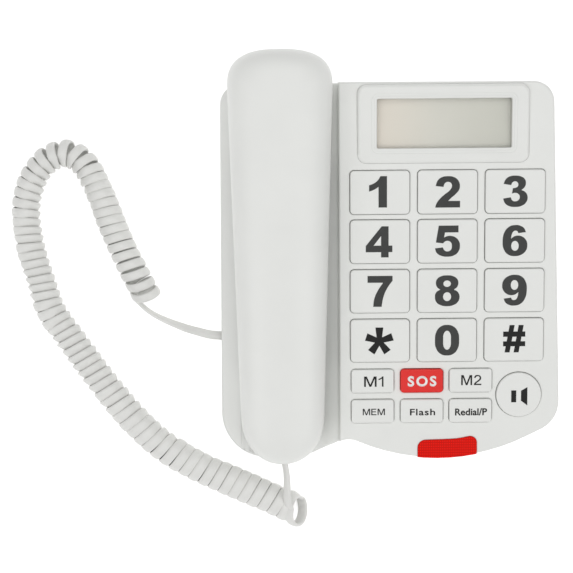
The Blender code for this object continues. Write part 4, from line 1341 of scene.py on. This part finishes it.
def spelled(letters):
    """The flat mesh of a short word, letter beside letter."""
    work = bmesh.new()
    reach = 0.0
    for letter in letters:
        glyph = curve_mesh(outline_curve(letter, OUTLINES[letter]))
        bmesh.ops.translate(glyph, verts=glyph.verts, vec=(reach, 0, 0))
        reach = max(v.co.x for v in glyph.verts) + LETTER_GAP
        carried = bpy.data.meshes.new(letter)
        glyph.to_mesh(carried)
        glyph.free()
        work.from_mesh(carried)
        bpy.data.meshes.remove(carried)
    return work


def flat_print(text):
    """The flat mesh of what a key says."""
    if text in SPELLED:
        return spelled(SPELLED[text])
    if text in OUTLINES:
        return curve_mesh(outline_curve(text, OUTLINES[text]))
    return curve_mesh(word_curve(text, *WORDS[text]))


def printed(node):
    """The printing of a key as a thin raised mesh on its cap."""
    text, width, height, shift = PRINTS[node]
    work = flat_print(text)
    low = Vector((min(v.co.x for v in work.verts), min(v.co.y for v in work.verts), 0))
    high = Vector((max(v.co.x for v in work.verts), max(v.co.y for v in work.verts), 0))
    size = high - low
    scale_y = height / size.y
    scale_x = width / size.x if width else scale_y
    centre, _ = on_deck(node)
    middle = (low + high) / 2
    spot = Vector((centre.x + shift[0], centre.y + shift[1], KEY_TOP + PRINT_LIFT))
    place = DECK @ Matrix.Translation(spot * MM)
    flat = Matrix.Diagonal((scale_x * MM, scale_y * MM, 1, 1)) @ Matrix.Translation(-middle)
    bmesh.ops.transform(work, matrix=flat, verts=work.verts)
    faces = list(work.faces)
    bmesh.ops.recalc_face_normals(work, faces=faces)
    if sum(f.normal.z for f in faces) < 0:
        bmesh.ops.reverse_faces(work, faces=faces)
    raised = bmesh.ops.extrude_face_region(work, geom=faces)
    lifted = [g for g in raised["geom"] if isinstance(g, bmesh.types.BMVert)]
    bmesh.ops.translate(work, verts=lifted, vec=(0, 0, key_settings().print_height))
    ink = "print" if text.isdigit() else "small_print"
    if node == "key_sos":
        ink = "white_print"
    return new_piece(f"print_{node[4:]}", work, finish(ink), place)


def key_cap(node):
    """A key's cap with its flange below and a rounded edge above."""
    centre, width = on_deck(node)
    edge = key_settings().edge_radius / MM
    low, high = KEY_FLANGE_Z
    if node == "key_speaker":
        radius = width / 2 - KEY_FLANGE
        profile = [(0, low), (radius + KEY_FLANGE, low), (radius + KEY_FLANGE, high), (radius, high)]
        profile += [(radius - inward, KEY_TOP - down) for inward, down in arc_edge(edge)]
        profile.append((0, KEY_TOP))
        work = turned(profile)
        bmesh.ops.translate(work, verts=work.verts, vec=Vector((centre.x, centre.y, 0)) * MM)
        return work
    height = key_height(node)
    width -= 2 * KEY_FLANGE
    corner = 2.1 if height > 20 else 1.6
    cap = rectangle(width, height, corner, (centre.x, centre.y))
    flange = rounded(cap, -KEY_FLANGE, CORNER_STEP)
    body = rounded(cap, 0, CORNER_STEP)
    rings = [level(flange, low), level(flange, high), level(body, high)]
    rings += [level(rounded(cap, inward, CORNER_STEP), KEY_TOP - down) for inward, down in arc_edge(edge)]
    return loft(rings)


class TELEPHONE_OT_keys(bpy.types.Operator):
    """Adds the nineteen keys and their printing"""

    bl_idname = "telephone.keys"
    bl_label = "Keys"

    def execute(self, context):
        for node in [*KEY_NAMES, "key_speaker"]:
            slot = "red_key" if node == "key_sos" else "key"
            cap = new_piece(f"cap_{node[4:]}", key_cap(node), finish(slot), DECK)
            smooth(cap)
            stand_for(cap, node, slot, node)
            ink = printed(node)
            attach(ink, node)
        return {"FINISHED"}


# Display


def frame_z(y):
    """The height of the display's frame over the deck, which rises to the rear."""
    return between(FRAME_TOP, y)


def ring_loft(rings):
    """A closed band from rings that go once round its cross-section."""
    work = bmesh.new()
    rows = [[work.verts.new(Vector(point) * MM) for point in ring] for ring in rings]
    for low, high in zip(rows, rows[1:] + rows[:1]):
        for a in range(len(low)):
            b = (a + 1) % len(low)
            work.faces.new((low[a], low[b], high[b], high[a]))
    return work


class TELEPHONE_OT_display(bpy.types.Operator):
    """Adds the display's frame, and gives its window and panel their finishes"""

    bl_idname = "telephone.display"
    bl_label = "Display"

    def execute(self, context):
        plan = rectangle(*BEZEL, BEZEL_CENTRE)
        rings = [level(rounded(plan), BEZEL_Z)]
        for inward, down in arc_edge(1.0, 6):
            drop = 0.85 * down
            ring = rounded(plan, 2.0 * inward)
            rings.append([(x, y, frame_z(y) * (1 - drop) - 0.3 * drop) for x, y in ring])
        bezel = new_piece("display_frame", loft(rings), finish("shell"), DECK)
        hole = rectangle(*WINDOW, 0.8, DISPLAY_CENTRE)
        cut = [level(rounded(hole), -4.0)]
        for outward, down in arc_edge(0.6, 5):
            cut.append([(x, y, frame_z(y) - down) for x, y in rounded(hole, -outward)])
        cut.append(level(rounded(hole, -0.6), 9.0))
        carve(bezel, loft(cut), DECK)
        groove = [
            [(x, y, frame_z(y) + z) for x, y in rounded(hole, -out, CORNER_STEP)]
            for out, z in ((1.6, -0.25), (2.6, -0.25), (3.0, 0.05), (3.0, 2.0), (1.2, 2.0), (1.2, 0.05))
        ]
        carve(bezel, ring_loft(groove), DECK)
        smooth(bezel)
        stand_for(bezel, "base", "shell", "display_bezel")
        dress("window", "display_lens")
        dress("lcd", "lcd_panel")
        return {"FINISHED"}


# Ring lamp


class TELEPHONE_OT_ring_lamp(bpy.types.Operator):
    """Adds the red lens of the ring lamp"""

    bl_idname = "telephone.ring_lamp"
    bl_label = "Ring lamp"

    def execute(self, context):
        proud = -LAMP_PROUD
        rim = 1.5
        rings = [level(rounded(BASE_OUTLINE, proud), 0.0)]
        for inward, down in arc_edge(rim, 5):
            rings.append(below_deck(rounded(BASE_OUTLINE, inward + proud), down - LAMP_PROUD))
        lens = new_piece("lamp_lens", loft(rings), finish("lamp"))
        carve(lens, lamp_prism(0.0), operation="INTERSECT")
        inside = rounded(BASE_OUTLINE, LAMP_WALL)
        carve(lens, loft([level(inside, -2.0), below_deck(inside, LAMP_WALL)]))
        smooth(lens)
        stand_for(lens, "base", "lamp_lens", "ring_lamp_lens")
        return {"FINISHED"}


# Fittings that keep their CAD shape


def dress(material, *nodes):
    """Gives CAD nodes a finish."""
    for node in nodes:
        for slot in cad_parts[node].material_slots:
            slot.material = finish(material)


class TELEPHONE_OT_fittings(bpy.types.Operator):
    """Gives the feet, screws, sockets, plugs and inner parts their finishes"""

    bl_idname = "telephone.fittings"
    bl_label = "Fittings"

    def execute(self, context):
        dress("shell", "base_lower_shell", "battery_door", "hook_plunger")
        dress("rubber", "key_mat", *(f"foot_{k}" for k in range(1, 5)))
        dress("zinc", "handset_weight", "handset_screw_1", "handset_screw_2")
        dress("zinc", *(f"base_screw_{k}" for k in range(1, 5)))
        dress("nickel", "base_speaker", *(f"battery_cell_{k}" for k in range(1, 4)))
        dress("nylon", "base_cord_jack", "line_jack", "handset_cord_jack", "ringer_switch")
        dress("nylon", "earpiece_capsule", "microphone_capsule")
        dress("window", "base_cord_plug", "handset_cord_plug", "ring_led")
        dress("board", "main_board")
        return {"FINISHED"}


class TELEPHONE_PT_pieces(bpy.types.Panel):
    """Lists the pieces of the telephone and the stage"""

    bl_idname = "TELEPHONE_PT_pieces"
    bl_label = "Telephone"
    bl_space_type = "VIEW_3D"
    bl_region_type = "UI"
    bl_category = "Telephone"

    def draw(self, context):
        for one in PIECES:
            self.layout.operator(one.bl_idname)
        for settings in (stage_settings(), finish_settings(), cord_settings(), key_settings()):
            column = self.layout.column(align=True)
            for name in settings.bl_rna.properties.keys():
                if name not in ("rna_type", "name"):
                    column.prop(settings, name)


PIECES = [
    TELEPHONE_OT_stage, TELEPHONE_OT_cord, TELEPHONE_OT_base, TELEPHONE_OT_handset, TELEPHONE_OT_keys,
    TELEPHONE_OT_display, TELEPHONE_OT_ring_lamp, TELEPHONE_OT_fittings,
]
CLASSES = [StageSettings, FinishSettings, CordSettings, KeySettings, *PIECES, TELEPHONE_PT_pieces]


def register():
    for one in CLASSES:
        bpy.utils.register_class(one)
    scene = bpy.types.Scene
    scene.telephone_stage = PointerProperty(type=StageSettings)
    scene.telephone_finish = PointerProperty(type=FinishSettings)
    scene.telephone_cord = PointerProperty(type=CordSettings)
    scene.telephone_keys = PointerProperty(type=KeySettings)


def unregister():
    scene = bpy.types.Scene
    for name in ("telephone_stage", "telephone_finish", "telephone_cord", "telephone_keys"):
        delattr(scene, name)
    for one in reversed(CLASSES):
        bpy.utils.unregister_class(one)


def main():
    register()
    bpy.ops.telephone.stage()
    bpy.ops.telephone.cord()
    bpy.ops.telephone.base()
    bpy.ops.telephone.handset()
    bpy.ops.telephone.keys()
    bpy.ops.telephone.display()
    bpy.ops.telephone.ring_lamp()
    bpy.ops.telephone.fittings()


if __name__ == "__main__":
    main()
